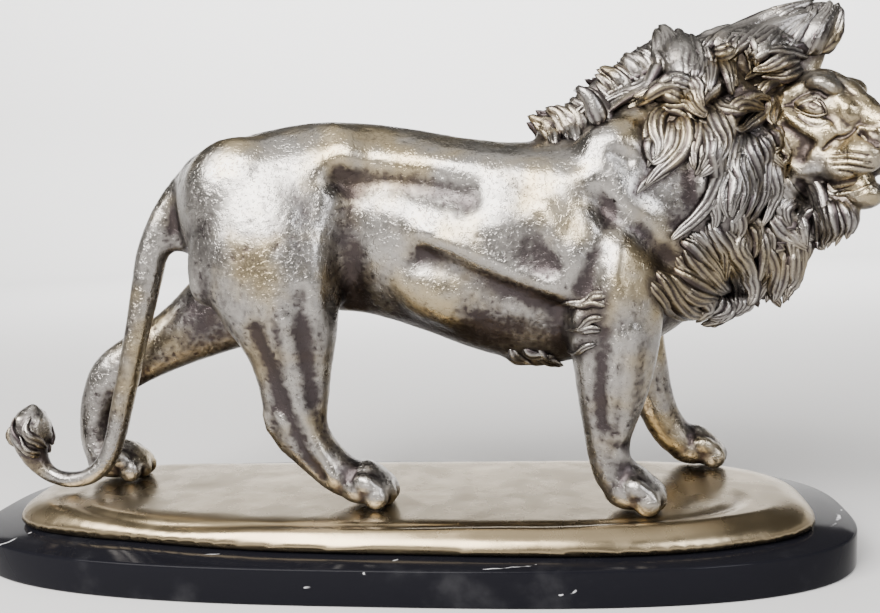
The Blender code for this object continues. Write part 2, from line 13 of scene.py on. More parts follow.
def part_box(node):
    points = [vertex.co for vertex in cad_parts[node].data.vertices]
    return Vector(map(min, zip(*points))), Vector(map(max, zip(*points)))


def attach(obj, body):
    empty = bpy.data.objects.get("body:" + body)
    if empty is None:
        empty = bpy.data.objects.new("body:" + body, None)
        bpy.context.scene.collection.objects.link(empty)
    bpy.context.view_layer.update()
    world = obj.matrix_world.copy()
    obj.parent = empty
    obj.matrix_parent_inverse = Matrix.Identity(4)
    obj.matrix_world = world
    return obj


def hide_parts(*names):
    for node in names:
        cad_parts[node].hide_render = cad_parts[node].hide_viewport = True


bl_info = {
    "name": "Bronze lion figurine",
    "version": (1, 0, 0),
    "blender": (4, 5, 0),
    "location": "3D View > Sidebar > Lion",
    "description": "Casts, carves and finishes the lion, its ground plate and its marble base",
    "category": "Object",
}

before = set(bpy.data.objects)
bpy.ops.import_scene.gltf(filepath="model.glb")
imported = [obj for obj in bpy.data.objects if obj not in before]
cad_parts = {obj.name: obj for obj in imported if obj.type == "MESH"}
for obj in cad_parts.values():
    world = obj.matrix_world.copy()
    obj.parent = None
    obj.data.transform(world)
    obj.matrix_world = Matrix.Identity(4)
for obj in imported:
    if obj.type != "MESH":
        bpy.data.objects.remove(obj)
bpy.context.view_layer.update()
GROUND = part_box("lion")[0][2]
MM = 0.001
# Grids that first join the lion's facets and the face's round forms.
LION_FORM_GRID, FACE_FORM_GRID = 1.5 * MM, 1.0 * MM

# The head's own frame: its centre in millimetres above the ground plate, its turn and its scale.
HEAD_CENTRE = Vector((197.5, -3.0, 174.0))
HEAD_TURN = math.radians(-48.0)
HEAD_SCALE = 0.90


def distance_setting(name, about, default, low):
    """A setting in metres."""
    return bpy.props.FloatProperty(
        name=name, description=about, default=default, min=low, subtype="DISTANCE", unit="LENGTH"
    )


def amount_setting(name, about, default, low, high):
    """A setting without a unit."""
    return bpy.props.FloatProperty(
        name=name, description=about, default=default, min=low, max=high, subtype="FACTOR"
    )


def colour_setting(name, about, default):
    """A colour picked in the panel."""
    return bpy.props.FloatVectorProperty(
        name=name, description=about, default=default, min=0, max=1, subtype="COLOR"
    )


class LionSizes(bpy.types.PropertyGroup):
    """Sizes of the casting's finer forms."""

    casting_grid: distance_setting(
        "Casting grid", "Spacing of the points of the lion's skin before it is thinned", 1.15 * MM, 0.5 * MM
    )
    face_grid: distance_setting("Face grid", "Spacing of the points of the face", 0.62 * MM, 0.4 * MM)
    hide_grain: distance_setting("Hide grain", "Depth of the hide's granular surface", 0.36 * MM, 0.0)
    carving_depth: amount_setting(
        "Carving depth", "Strength of every groove and ridge, where 1 is as carved", 1.0, 0.0, 2.0
    )
    lion_faces: bpy.props.IntProperty(
        name="Lion triangles",
        description="Triangles that the lion's skin keeps",
        default=190000,
        min=20000,
        max=199000,
    )
    lock_thickness: amount_setting(
        "Lock thickness", "Height of a lock of the mane as a share of its width", 0.38, 0.1, 0.6
    )
    plate_grid: distance_setting(
        "Plate grid", "Spacing of the points of the ground plate", 1.5 * MM, 0.8 * MM
    )
    marble_edge: distance_setting(
        "Marble edge", "Width of the marble's polished edge bevel", 1.2 * MM, 0.2 * MM
    )


class LionColours(bpy.types.PropertyGroup):
    """Colours of the finishes."""

    silver: colour_setting("Silver", "Worn silver of the lion", (0.30, 0.285, 0.265))
    gilt: colour_setting("Warm tint", "Yellow-gold cast of the silvering", (0.32, 0.262, 0.165))
    # The dark colour of the patina in the hollows, also used for painted shade.
    patina_and_shade: colour_setting("Patina", "Dark purplish brown left in the hollows", (0.030, 0.022, 0.024))
    plate: colour_setting("Plate", "Champagne silver of the plate", (0.34, 0.272, 0.17))
    marble: colour_setting("Marble", "Ground of the black marble", (0.006, 0.006, 0.008))
    vein: colour_setting("Vein", "Pale veins of the marble", (0.55, 0.55, 0.56))


# Working in millimetres of the lion.


def in_world(point):
    """A point in the lion's millimetres, as metres in the row frame."""
    return Vector(point) * MM + Vector((0, 0, GROUND))


def on_head(local):
    """A point of the head's own frame, in the lion's millimetres."""
    return HEAD_CENTRE + Matrix.Rotation(HEAD_TURN, 3, "Z") @ (Vector(local) * HEAD_SCALE)


def bend(a, b, c, d, t):
    """The Catmull-Rom value at t between b and c."""
    second = (2 * a - 5 * b + 4 * c - d) * t * t
    third = (3 * b - a - 3 * c + d) * t**3
    return 0.5 * (2 * b + (c - a) * t + second + third)


def smooth_path(points, steps):
    """A smooth path through tuples of numbers, with that many steps from each to the next."""
    padded = [points[0], *points, points[-1]]
    path = []
    for window in zip(padded, padded[1:], padded[2:], padded[3:]):
        for k in range(steps):
            path.append(tuple(bend(*values, k / steps) for values in zip(*window)))
    path.append(tuple(points[-1]))
    return path


def deselect_all():
    bpy.ops.object.select_all(action="DESELECT")


def make_active(piece):
    deselect_all()
    piece.select_set(True)
    bpy.context.view_layer.objects.active = piece


def finish_with(piece, kind, **settings):
    """Adds a modifier to the piece with its settings and applies it."""
    make_active(piece)
    added = piece.modifiers.new(kind.title(), kind)
    for name, value in settings.items():
        setattr(added, name, value)
    bpy.ops.object.modifier_apply(modifier=added.name)


def copy_of_solid(node, name):
    """A copy of a CAD node with its loose triangles joined."""
    piece = bpy.data.objects.new(name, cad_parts[node].data.copy())
    bpy.context.scene.collection.objects.link(piece)
    piece.data.materials.clear()
    make_active(piece)
    bpy.ops.object.mode_set(mode="EDIT")
    bpy.ops.mesh.select_all(action="SELECT")
    bpy.ops.mesh.remove_doubles(threshold=0.00001)
    bpy.ops.object.mode_set(mode="OBJECT")
    return piece


def points_of(piece):
    spots = np.empty(len(piece.data.vertices) * 3)
    piece.data.vertices.foreach_get("co", spots)
    return (spots.reshape(-1, 3) - (0, 0, GROUND)) / MM


def normals_of(piece):
    ways = np.empty(len(piece.data.vertices) * 3, np.float32)
    piece.data.vertex_normals.foreach_get("vector", ways)
    return ways.reshape(-1, 3).astype(float)


def set_points(piece, spots):
    piece.data.vertices.foreach_set("co", (spots * MM + (0, 0, GROUND)).ravel())
    piece.data.update()


def surface_of(piece):
    """A tree of the piece's faces in the lion's millimetres, for laying things on it."""
    spots = [Vector(p) for p in points_of(piece)]
    return BVHTree.FromPolygons(spots, [face.vertices[:] for face in piece.data.polygons])


# Carving.


def reach_of(spots, path, radius):
    """How near each spot is to a path, from 1 on it to 0 far from it."""
    low, high = np.min(path, axis=0) - 3 * radius, np.max(path, axis=0) + 3 * radius
    near = np.flatnonzero(np.all((spots > low) & (spots < high), axis=1))
    nearest = np.full(len(near), 1e9)
    for start, end in zip(path[:-1], path[1:]):
        along = end - start
        share = np.clip((spots[near] - start) @ along / max(along @ along, 1e-9), 0, 1)
        nearest = np.minimum(nearest, ((spots[near] - start - share[:, None] * along) ** 2).sum(axis=1))
    reach = np.zeros(len(spots))
    reach[near] = np.exp(-nearest / radius**2)
    return reach


def carve_flanks(spots, normals, lines, shift):
    """Grooves and ridges drawn on the flanks as x and z, pressed in from either side."""
    for points, radius, height in lines:
        path = np.array(smooth_path(points, 5))
        reach = reach_of(spots[:, (0, 2)], path, radius)
        for side in (-1, 1):
            facing = np.clip(side * normals[:, 1] * 1.8, 0, 1) * np.clip((side * spots[:, 1] - 2) / 8, 0, 1)
            shift += height * reach * facing


def carve_lines(spots, lines, shift):
    """Grooves and ridges along lines in space."""
    for points, radius, height in lines:
        path = np.array([tuple(p) for p in smooth_path([tuple(q) for q in points], 4)])
        shift += height * reach_of(spots, path, radius)


# The flanks' hollows and ridges: x and z along the line, reach and height.
FLANK_LINES = (
    (((-14, 151), (-16, 128), (-18, 100)), 9.0, -1.0), (((-18, 160), (10, 155), (40, 147)), 7.3, -0.9),
    (((-24, 167), (19, 164), (56, 160), (86, 155)), 7.8, 0.6),
    (((-28, 186), (-20, 178), (-15, 167)), 5.6, 0.8), (((-8, 182), (-6, 170)), 5.6, -0.5),
    (((20, 130), (40, 121), (58, 112), (84, 101)), 5.0, 0.8),
    (((20, 120), (44, 110), (58, 104), (82, 95)), 4.5, -1.0),
    (((99, 147), (103, 136), (100, 121), (93, 105), (86, 97)), 3.8, 0.6),
    (((76, 139), (82, 126), (86, 114), (82, 105)), 6.7, 0.8),
    (((101, 141), (115, 129), (131, 114)), 4.0, 0.6), (((97, 152), (107, 147), (121, 136)), 5.6, 0.8),
    (((101, 125), (105, 114), (108, 99)), 6.7, 0.7), (((108, 163), (113, 160)), 3.4, -1.4),
    (((99, 171), (108, 169), (118, 166)), 5.6, 0.6), (((-24, 147), (-28, 119), (-30, 98)), 5.6, 0.6),
    (((-34, 140), (-37, 118), (-37, 103)), 4.5, -0.3), (((-60, 88), (-54, 66), (-50, 48)), 3.4, -0.4),
    (((-37, 103), (-37, 77), (-36, 53)), 3.4, -0.4), (((-45, 92), (-44, 70), (-42, 52)), 3.4, 0.7),
    (((101, 85), (99, 63), (100, 41)), 2.9, -0.4), (((108, 82), (105, 63), (103, 44)), 2.9, 0.6),
    (((114, 85), (111, 63), (109, 36)), 3.1, 0.8), (((-42, 50), (-35, 33), (-27, 16)), 2.9, 0.8),
    (((-47, 42), (-41, 28), (-33, 16)), 2.5, -0.7), (((-61, 44), (-60, 38)), 3.4, 1.3),
    (((-52, 45), (-49, 41)), 2.9, 1.0), (((107, 28), (113, 24)), 2.9, 1.0),
    (((66, 150), (72, 132), (78, 118)), 5.6, -0.4), (((50, 150), (54, 134), (58, 120)), 5.6, 0.3),
    (((88, 166), (92, 154), (93, 142)), 5.6, -0.4), (((-78, 128), (-70, 110), (-62, 94)), 5.6, 0.3),
    (((-95, 118), (-86, 100), (-74, 86)), 4.5, -0.3), (((112, 122), (120, 108), (124, 92)), 5.0, 0.5),
    (((119, 132), (126, 118), (129, 102)), 4.0, -0.5), (((86, 92), (91, 86), (96, 78)), 3.4, 0.7),
    (((3, 118), (14, 104), (30, 92)), 6.7, 0.4),
)

# Painted shade on the flanks, and painted highlights where below 0: x and z along a stroke, its reach, and
# how dark, or how bright where below 0.
FLANK_SHADE_AND_HIGHLIGHT = (
    (((-52, 149), (-29, 152), (-19, 158), (-11, 153), (4, 155), (18, 152), (40, 143)), 6.6, 0.16),
    (((-16, 147), (-18, 133), (-13, 120), (-15, 101)), 5.4, 0.16),
    (((-7, 109), (17, 103), (45, 97), (66, 94)), 10.8, 0.14),
    (((15, 120), (41, 123), (53, 115), (70, 105), (84, 102)), 4.8, 0.18),
    (((-64, 121), (-61, 106), (-54, 98), (-48, 89)), 20.4, 0.08), (((-104, 112), (-109, 89)), 14, 0.34),
    (((60, 127), (73, 119), (86, 113)), 4.8, 0.12), (((-116, 138), (-113, 155)), 5, 0.19),
    (((-66, 143), (-60, 153)), 14.4, -0.19), (((-46, 117), (-42, 112)), 7.2, -0.15),
    (((-4, 140), (4, 127)), 7.2, -0.14), (((86, 154), (86, 144)), 10.8, -0.16),
    (((33, 112), (38, 117)), 8.4, -0.15), (((138, 149), (140, 141), (136, 132)), 6, 0.37),
    (((106, 140), (112, 133), (126, 121), (130, 117)), 4, 0.29),
    (((104, 142), (103, 134), (97, 120), (90, 102)), 3, 0.30), (((69, 107), (70, 96)), 10.8, 0.13),
    (((102, 101), (104, 96)), 6, 0.21), (((76, 125), (85, 118)), 6, 0.11),
    (((160, 197), (162, 193)), 5, 0.56), (((116, 163), (101, 154), (114, 144)), 7, -0.17),
    (((126, 129), (129, 125)), 4, -0.14), (((106, 120), (103, 112)), 6, -0.14),
    (((-200, 22), (-199, 34), (-196, 42)), 9, 0.26), (((-170, 10), (-184, 12), (-193, 20)), 6, 0.15),
    (((-40, 84), (5, 84), (50, 82)), 8, 0.24), (((-128, 96), (-96, 92), (-74, 84)), 14, 0.16),
    (((-78, 132), (-62, 126), (-48, 128)), 12, 0.30),
    (((-122, 170), (-135, 128), (-142, 71), (-156, 34)), 6, 0.22),
)

# Knobs on the tail's tuft: x, y, z, reach and height.
TAIL_KNOBS = (
    ((-197, -18, 24), 2.4, 1.4), ((-204, -14, 31), 2.6, 1.6), ((-193, -19, 32), 2.6, 1.5),
    ((-200, -17, 39), 2.4, 1.4), ((-189, -14, 38), 2.4, 1.5), ((-196, -9, 44), 2.8, 1.4),
    ((-204, -4, 36), 2.6, 1.4), ((-192, -2, 33), 2.6, 1.4), ((-189, -6, 27), 2.4, 1.2),
)

# Round forms of the head in its own frame. In the middle: x, z, three radii and a tilt.
# In pairs: x, y, z, three radii, a tilt and a turn.
HEAD_MIDDLE = (
    (-4, 7, 26, 22, 20, 0), (12, 18, 15, 14.5, 9.5, -25), (23, 12, 14, 9.0, 9, -38),
    (31, 5, 12, 8.2, 8.5, -34), (39, -1, 9.5, 7.4, 7.5, -28), (46, -8.0, 5.2, 8.0, 5.0, 0),
    (31, -13, 15, 12.5, 12.5, 0), (34, -37.0, 10.0, 9.5, 7.4, 8), (24, -34, 15, 11.5, 7.5, 8),
    (12, -30, 24, 13, 9.5, 8), (-8, -12, 22, 22, 26, 0),
)
HEAD_PAIRS = (
    (19, -11.0, 18.5, 8.5, 6.5, 4.6, -22, 20), (36, -8.4, -18, 12.0, 8.4, 9.6, 0, 12),
    (27, -10.5, -21, 12.0, 8.0, 9.0, 0, 10), (4, -16.5, -4, 18, 8.0, 13, -10, 14),
    (19, -12.6, -4, 13, 6.6, 8.0, -22, 14), (13, -14, -17, 16, 7.5, 10, 5, 12),
    (2, -13.5, -26, 18, 8.5, 10, 12, 10), (15.5, -10.5, 7.0, 11.0, 7.2, 8.5, -20, 14),
    (27, -7.0, 5.0, 10.0, 6.0, 6.5, -36, 8),
)

# The right eye: centre, radii, tilt and turn of its ball, the middle of its iris, the radius and width
# of the ring round it, and the reach of the pupil and of the lid's shadow.
EYEBALL = ((14.5, -16.1, 7.1), (9.0, 3.2, 3.9), -24, 14)
IRIS = (17.6, -18.3, 8.5)
RING_RADIUS, RING_WIDTH, PUPIL_REACH, SHADOW_REACH = 2.3, 0.45, 1.0, 1.5

# Rolls of the upper and the lower lid, in the head's frame: points with a radius. Then the painted shade on
# each.
LIDS = (
    ((8, -19.9, 8.2, 0.5), (11.1, -19.6, 9.7, 0.9), (13.9, -17.8, 10.7, 1.1), (16.9, -15.7, 11, 1.2),
      (20.1, -15.7, 9.2, 1.1), (22.3, -16, 6.2, 0.8), (23, -15.8, 3.6, 0.5)),
    ((7.9, -19.8, 8.1, 0.4), (11.3, -19.9, 5.6, 0.5), (15, -19.3, 3.7, 0.6), (19.2, -18.5, 2.7, 0.6),
      (21.9, -17.1, 3.1, 0.5), (23, -15.8, 3.6, 0.4)),
)

LID_PAINTED_SHADE = (0.88, 0.66)

# Lines cut or raised on the face, in the head's frame: points, reach and height.
FACE_LINES = (
    (((52, -0.6, -12), (51, -0.6, -18), (48, -1.5, -25)), 1.1, -1.6),
    (((21, 0, 22), (30, 0, 14), (38, 0, 7)), 1.6, -0.8),
    (((6.7, -19.2, 11.3), (9.3, -17.0, 13.8), (12.8, -14.9, 15.4), (17.8, -15.3, 15.0),
      (20.9, -13.9, 12.0)), 1.1, -0.9),
    (((11.1, -20.9, 2.8), (15.3, -19.9, -0.4), (20.2, -18.7, -2.1), (23.6, -16.8, -0.8)), 1, -0.6),
    (((3.5, -20.6, 9.4), (5.5, -19.9, 9.8), (8.0, -19.2, 8.8)), 1, -0.8),
    (((2.0, -19.4, 14.7), (2.6, -21.1, 8.0), (8.5, -22.5, 1.6), (14.7, -20.6, -4.3),
      (21.2, -17.7, -9.5)), 2.6, 1.2),
    (((22.4, -15.5, 2.2), (25.5, -14.8, 0.0), (28.0, -15.0, -4.3), (28.5, -14.1, -8.9)), 1.5, -0.9),
    (((3.4, -18.7, 15.3), (7.2, -15.0, 18.5), (15.6, -16.8, 19.7), (22.2, -16.0, 18.0),
      (24.6, -10.9, 13.1)), 3, 1.5),
    (((22.8, -17.6, -13.3), (27.2, -14.9, -9.4), (31.5, -11.8, -7.5), (33.6, -9.0, -4.7)), 1.2, -1.4),
    (((37.1, -9.3, -6.8), (41.5, -9.8, -9.9), (45.5, -9.0, -13.0)), 1.5, -2.6),
    (((35.3, -8.1, -4.1), (39.9, -7.1, -5.2), (44.4, -6.7, -6.0)), 1, 0.8),
    (((20.5, -11.6, -31.2), (23.0, -11.0, -34.3), (29.5, -10.3, -33.7), (34.3, -8.1, -32.4),
      (37.1, -3.8, -30.1)), 1.2, -2.6),
    (((25.7, -10.4, -36.0), (30.7, -9.7, -35.3), (36.0, -8.3, -34.1), (39.8, -4.6, -32.1)), 1, 0.6),
    (((5.8, -23.9, -1.1), (10.7, -22.6, -4.4), (14.8, -20.1, -10.5), (12.5, -21.4, -17.5)), 3.6, -1.6),
    (((8.2, -21.0, -22.4), (12.9, -19.4, -24.3), (18.3, -17.7, -24.0)), 3.2, 1.2),
    (((10.4, -17.9, -30.6), (12.3, -10.6, -35.2), (15.9, -8.4, -37.6)), 2.4, -1.6),
    (((15.6, -16.8, 19.7), (20.3, -16.8, 19.0)), 2.4, 0.9),
    (((24.1, -14.1, 15.9), (27.1, -11.2, 10.0), (30.9, -11.1, 6.8)), 2.6, 0.8),
    (((29.3, -12.3, 4.1), (31.9, -10.1, -0.3), (32.1, -9.0, -3.9)), 2.4, 0.6),
    (((16.8, -0.9, 26.1), (25.2, -7.0, 18.9), (30.8, -6.0, 12.6)), 1.4, -0.6),
    (((-3.4, -25.2, -3.2), (-0.3, -24.7, -7.9), (-2.7, -22.3, -12.9), (0.8, -21.3, -15.3),
      (1.5, -21.0, -19.8)), 1.4, 1.2),
)

# Rows of whisker dots on the pads: points in the head's frame.
WHISKER_ROWS = (
    ((27.1, -17.0, -16.0), (33.7, -16.6, -16.1), (39.9, -15.7, -17.2), (44.3, -13.2, -18.3)),
    ((26.3, -18.1, -19.1), (32.5, -17.0, -19.1), (39.2, -15.7, -20.3), (44.4, -12.0, -21.7)),
    ((27.1, -18.2, -22.0), (33.7, -16.4, -22.4), (39.7, -13.9, -23.8), (43.6, -9.1, -24.7)),
    ((29.6, -17.1, -24.8), (35.0, -13.5, -26.1), (35.9, -1.8, -27.0)),
)

# Painted shade on the face, round the eye, in the cheek hollow, at the nostril and the mouth, and painted
# highlights where below 0: points in the head's frame, reach and darkness.
FACE_SHADE_AND_HIGHLIGHT = (
    (((7.0, -19.6, 9.2), (12.2, -16.4, 12.6), (16.7, -15.3, 13.3), (20.6, -15.3, 9.9)), 1.3, 0.4),
    (((3.5, -20.6, 9.3), (5.9, -19.9, 9.5), (8.0, -19.2, 8.7)), 1.3, 0.36),
    (((22.6, -15.7, 1.8), (23.7, -15.3, 1.3)), 1.3, 0.36),
    (((11.5, -20.2, 3.5), (15.8, -19.3, 0.7), (20.6, -18.1, -0.6)), 1, 0.16),
    (((5.8, -23.9, -1.1), (10.7, -22.6, -4.4), (14.8, -20.1, -10.5), (12.5, -21.4, -17.5)), 4.5, 0.42),
    (((10.4, -17.9, -30.6), (11.9, -9.9, -36.0), (15.9, -8.4, -37.6)), 4, 0.5),
    (((37.1, -9.3, -6.8), (41.5, -9.8, -9.9), (45.5, -9.0, -13.0)), 2.2, 0.5),
    (((24.3, -12.1, -30.2), (31.0, -10.3, -30.1), (35.3, -4.6, -28.6)), 2.4, 0.3),
    (((32.5, -7.4, -41.0), (37.9, -3.6, -42.6)), 3, 0.3),
    (((21.5, -16.3, 18.9), (14.6, -15.3, 17.0)), 4, -0.2),
    (((9.8, -22.5, 0.0), (15.0, -20.5, -4.0), (20.0, -18.3, -8.0)), 3, -0.3),
    (((13.1, -19.7, -23.8), (16.8, -18.0, -24.3)), 2.6, -0.3),
)

# Paws: heel x, y, toe x, turn in degrees.
PAWS = ((-27, -31, 3, -4), (-177, 9, -139, 4), (100, -37, 129, -8), (139, 34, 170, 4))


def ball(bm, centre, radii, tilt=0.0, turn=0.0, segments=28):
    """A stretched ball in the row frame from the lion's millimetres."""
    place = (
        Matrix.Translation(in_world(centre))
        @ Matrix.Rotation(math.radians(turn), 4, "Z")
        @ Matrix.Rotation(math.radians(-tilt), 4, "Y")
        @ Matrix.Diagonal((*(MM * r for r in radii), 1.0))
    )
    bmesh.ops.create_uvsphere(bm, u_segments=segments, v_segments=segments // 2, radius=1.0, matrix=place)


def head_ball(bm, centre, radii, tilt=0.0, turn=0.0):
    ball(bm, on_head(centre), [HEAD_SCALE * r for r in radii], tilt, turn + math.degrees(HEAD_TURN))


def skin(bm, rings):
    """Skins rings of points and closes both ends."""
    rows = [[bm.verts.new(p) for p in ring] for ring in rings]
    count = len(rows[0])
    for low, high in zip(rows, rows[1:]):
        for i in range(count):
            j = (i + 1) % count
            bm.faces.new((low[i], low[j], high[j], high[i]))
    for row, flip in ((rows[0], True), (rows[-1], False)):
        middle = bm.verts.new(sum((v.co for v in row), Vector()) / count)
        for i in range(count):
            j = (i + 1) % count
            bm.faces.new((row[j], row[i], middle) if flip else (row[i], row[j], middle))


def roll(bm, stations, sides=10):
    """A round roll of changing radius through head-frame stations (x, y, z, radius)."""
    path = smooth_path(stations, 5)
    spokes = [(math.cos(a), math.sin(a)) for a in (2 * math.pi * k / sides for k in range(sides))]
    rings = []
    for i, (x, y, z, radius) in enumerate(path):
        here = on_head((x, y, z))
        before = on_head(path[max(i - 1, 0)][:3])
        after = on_head(path[min(i + 1, len(path) - 1)][:3])
        along = (after - before).normalized()
        across = along.orthogonal().normalized()
        other = along.cross(across)
        size = radius * HEAD_SCALE
        rings.append([in_world(here + across * size * c + other * size * s) for c, s in spokes])
    skin(bm, rings)


def paw_forms(bm, heel, y, toe, turn):
    """Pad and four toes, each with its knuckle."""
    length = toe - heel
    spin = math.radians(turn)
    ahead, left = Vector((math.cos(spin), math.sin(spin), 0)), Vector((-math.sin(spin), math.cos(spin), 0))
    start = Vector((heel, y, 0))
    ball(bm, start + ahead * (0.42 * length) + Vector((0, 0, 9.2)), (0.42 * length, 12.4, 9.0), turn=turn)
    ball(bm, start + ahead * (0.48 * length) + Vector((0, 0, 12.5)), (0.28 * length, 10.2, 9.0), turn=turn)
    for side in (-1.5, -0.5, 0.5, 1.5):
        reach = (0.80 - 0.045 * side * side) * length
        toe_spot = start + ahead * reach + left * (side * 6.7)
        ball(bm, toe_spot + Vector((0, 0, 6.2)), (6.6, 3.9, 6.2), turn=turn + 7 * side)
        knuckle = toe_spot - ahead * 4.5 + Vector((0, 0, 12.2))
        ball(bm, knuckle, (6.4, 3.5, 5.0), tilt=-25, turn=turn + 5 * side)


def mesh_of(bm, name):
    mesh = bpy.data.meshes.new(name)
    bm.to_mesh(mesh)
    bm.free()
    return mesh


def marked_forms():
    """An empty mesh whose points take the darkness mark, for dark oxide and painted shade."""
    bm = bmesh.new()
    bm.verts.layers.float.new("hollow_and_shade")
    return bm


def add_mesh(piece, mesh):
    """Joins a loose mesh to the piece and drops the loose one."""
    whole = bmesh.new()
    whole.from_mesh(piece.data)
    whole.from_mesh(mesh)
    whole.to_mesh(piece.data)
    whole.free()
    bpy.data.meshes.remove(mesh)


def ease_points(spots, edges, rounds):
    """Moves every point towards the middle of its neighbours, rounds times."""
    count = len(spots)
    ends = np.concatenate((edges[:, 0], edges[:, 1]))
    others = np.concatenate((edges[:, 1], edges[:, 0]))
    links = np.maximum(np.bincount(ends, minlength=count), 1)
    eased = spots.copy()
    for _ in range(rounds):
        for axis in range(3):
            eased[:, axis] = np.bincount(ends, weights=eased[others, axis], minlength=count) / links
    return eased


def mark_hollows_and_shade(piece, rounds, depth, patina_and_shade=None, most=0.22):
    """Writes the darkness mark: 1 deepest in a fold, 0.5 on the flat, 0 on a crest, as the dark oxide of the
    hollows; it adds painted shade where faces look down, and the given strokes of painted shade and painted
    highlight.
    """
    spots, normals = points_of(piece), normals_of(piece)
    edges = np.empty(len(piece.data.edges) * 2, np.int64)
    piece.data.edges.foreach_get("vertices", edges)
    edges = edges.reshape(-1, 2)
    fine = ((ease_points(spots, edges, rounds) - spots) * normals).sum(axis=1)
    broad = ((ease_points(spots, edges, rounds * 6) - spots) * normals).sum(axis=1)
    value = 0.5 + np.clip(0.9 * fine / depth, -0.5, most) + np.clip(0.3 * broad / depth, -0.3, 0.6 * most)
    # Painted shade: faces that look down are darkened.
    value += 0.20 * np.clip(0.1 - normals[:, 2], 0, 1)
    # Strokes of painted shade and painted highlight given by the caller.
    if patina_and_shade is not None:
        value += patina_and_shade
    value = np.clip(value, 0, 1)
    mark = piece.data.attributes.new("hollow_and_shade", "FLOAT", "POINT")
    mark.data.foreach_set("value", value.astype(np.float32))


def grain_of(spots, size):
    """A value of even noise at each spot, about -1 to 1, with grains of that size."""
    return np.array([noise.noise(Vector(p) / size) for p in spots])


# How the frame's coarse face sinks so that the carved one covers it: middle in the head's frame, reach
# and share.
FACE_SINK = ((12, 0, -5), 28, 0.26)
# Painted shade deepens down the legs: the height it starts at, the drop to its darkest, and how dark.
LEG_PAINTED_SHADE = (108, 60, 0.42)


class LION_OT_cast_lion(bpy.types.Operator):
    """Casts the lion: the solid's skin with its face, paws, muscles and granular hide"""

    bl_idname = "lion.cast_lion"
    bl_label = "Cast the lion"

    def execute(self, context):
        sizes = context.scene.lion_sizes
        lion = copy_of_solid("lion", "cast_lion")
        finish_with(lion, "REMESH", mode="VOXEL", voxel_size=LION_FORM_GRID)
        finish_with(lion, "SMOOTH", factor=0.6, iterations=12)

        middle, reach, share_sunk = FACE_SINK
        spots = points_of(lion)
        away = spots - np.array(on_head(middle))
        inside = np.clip(1.6 - np.linalg.norm(away, axis=1) / reach, 0, 1)
        set_points(lion, spots - away * (share_sunk * inside)[:, None])

        forms = bmesh.new()
        for paw in PAWS:
            paw_forms(forms, *paw)
        add_mesh(lion, mesh_of(forms, "paws"))
        finish_with(lion, "REMESH", mode="VOXEL", voxel_size=sizes.casting_grid)
        finish_with(lion, "SMOOTH", factor=0.5, iterations=3)

        spots, normals = points_of(lion), normals_of(lion)
        shift = np.zeros(len(spots))
        carve_flanks(spots, normals, FLANK_LINES, shift)
        knobs = [([Vector(p), Vector(p) + Vector((0, 0, 0.3))], r, h) for p, r, h in TAIL_KNOBS]
        carve_lines(spots, knobs, shift)
        shift *= sizes.carving_depth

        # The hide's grain fades towards the soles.
        rough = np.clip(spots[:, 2] / 5, 0, 1)
        lumps = 0.22 * grain_of(spots, 9.0) + 0.20 * grain_of(spots + 40, 3.4)
        fine = grain_of(spots + 90, 1.9)
        pits = -np.clip(grain_of(spots + 15, 2.4) - 0.30, 0, 1) * 2.4
        shift += sizes.hide_grain / MM * rough * (lumps + 0.35 * fine + 0.7 * pits)
        spots += normals * shift[:, None]
        spots[:, 2] = np.maximum(spots[:, 2], 0.0)
        set_points(lion, spots)

        faces = sum(len(f.vertices) - 2 for f in lion.data.polygons)
        finish_with(lion, "DECIMATE", ratio=min(1.0, sizes.lion_faces / faces))
        spots = points_of(lion)
        # Painted shade and painted highlights from the strokes on the flanks, and painted shade darkening
        # down the legs.
        patina_and_shade = np.zeros(len(spots))
        for points, radius, height in FLANK_SHADE_AND_HIGHLIGHT:
            patina_and_shade += height * reach_of(spots[:, (0, 2)], np.array(smooth_path(points, 5)), 1.4 * radius)
        start, drop, dark = LEG_PAINTED_SHADE
        patina_and_shade += dark * np.clip((start - spots[:, 2]) / drop, 0, 1)
        mark_hollows_and_shade(lion, 3, 0.9, patina_and_shade, most=0.15)
        lion.data.shade_smooth()
        lion.data.materials.append(silvered_bronze(context.scene.lion_colours))
        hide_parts("lion")
        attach(lion, "root")
        return {"FINISHED"}


def add_eyes(bm):
    """Both eyes: a long ball with a ringed iris, and the lids laid round it."""
    mark = bm.verts.layers.float["hollow_and_shade"]
    centre, radii, tilt, turn = EYEBALL
    for side in (1, -1):
        first = len(bm.verts)
        place = on_head((centre[0], side * centre[1], centre[2]))
        ball(bm, place, [HEAD_SCALE * r for r in radii], tilt, side * turn + math.degrees(HEAD_TURN), 72)
        pupil = in_world(on_head((IRIS[0], side * IRIS[1], IRIS[2])))
        lid = [in_world(on_head((a, side * b, c - 1.9))) for a, b, c, _ in smooth_path(LIDS[0], 4)]
        bm.verts.ensure_lookup_table()
        # Painted shade on the ball: a dark ring and a dark pupil as if cut in, and the upper lid's shadow.
        for vert in bm.verts[first:]:
            gap = (vert.co - pupil).length / MM
            ring = math.exp(-(((gap - RING_RADIUS) / RING_WIDTH) ** 2))
            ring += 1.5 * math.exp(-((gap / PUPIL_REACH) ** 2))
            shadow = math.exp(-((min((vert.co - p).length for p in lid) / (SHADOW_REACH * MM)) ** 2))
            vert[mark] = min(1.0, 0.60 + 0.36 * ring + 0.4 * shadow)
            vert.co += (vert.co - in_world(place)).normalized() * (-0.2 * MM * ring)
        # The lid rolls take painted shade.
        for shade, stations in zip(LID_PAINTED_SHADE, LIDS):
            first = len(bm.verts)
            roll(bm, [(a, side * b, c, r) for a, b, c, r in stations], 14)
            bm.verts.ensure_lookup_table()
            for vert in bm.verts[first:]:
                vert[mark] = shade


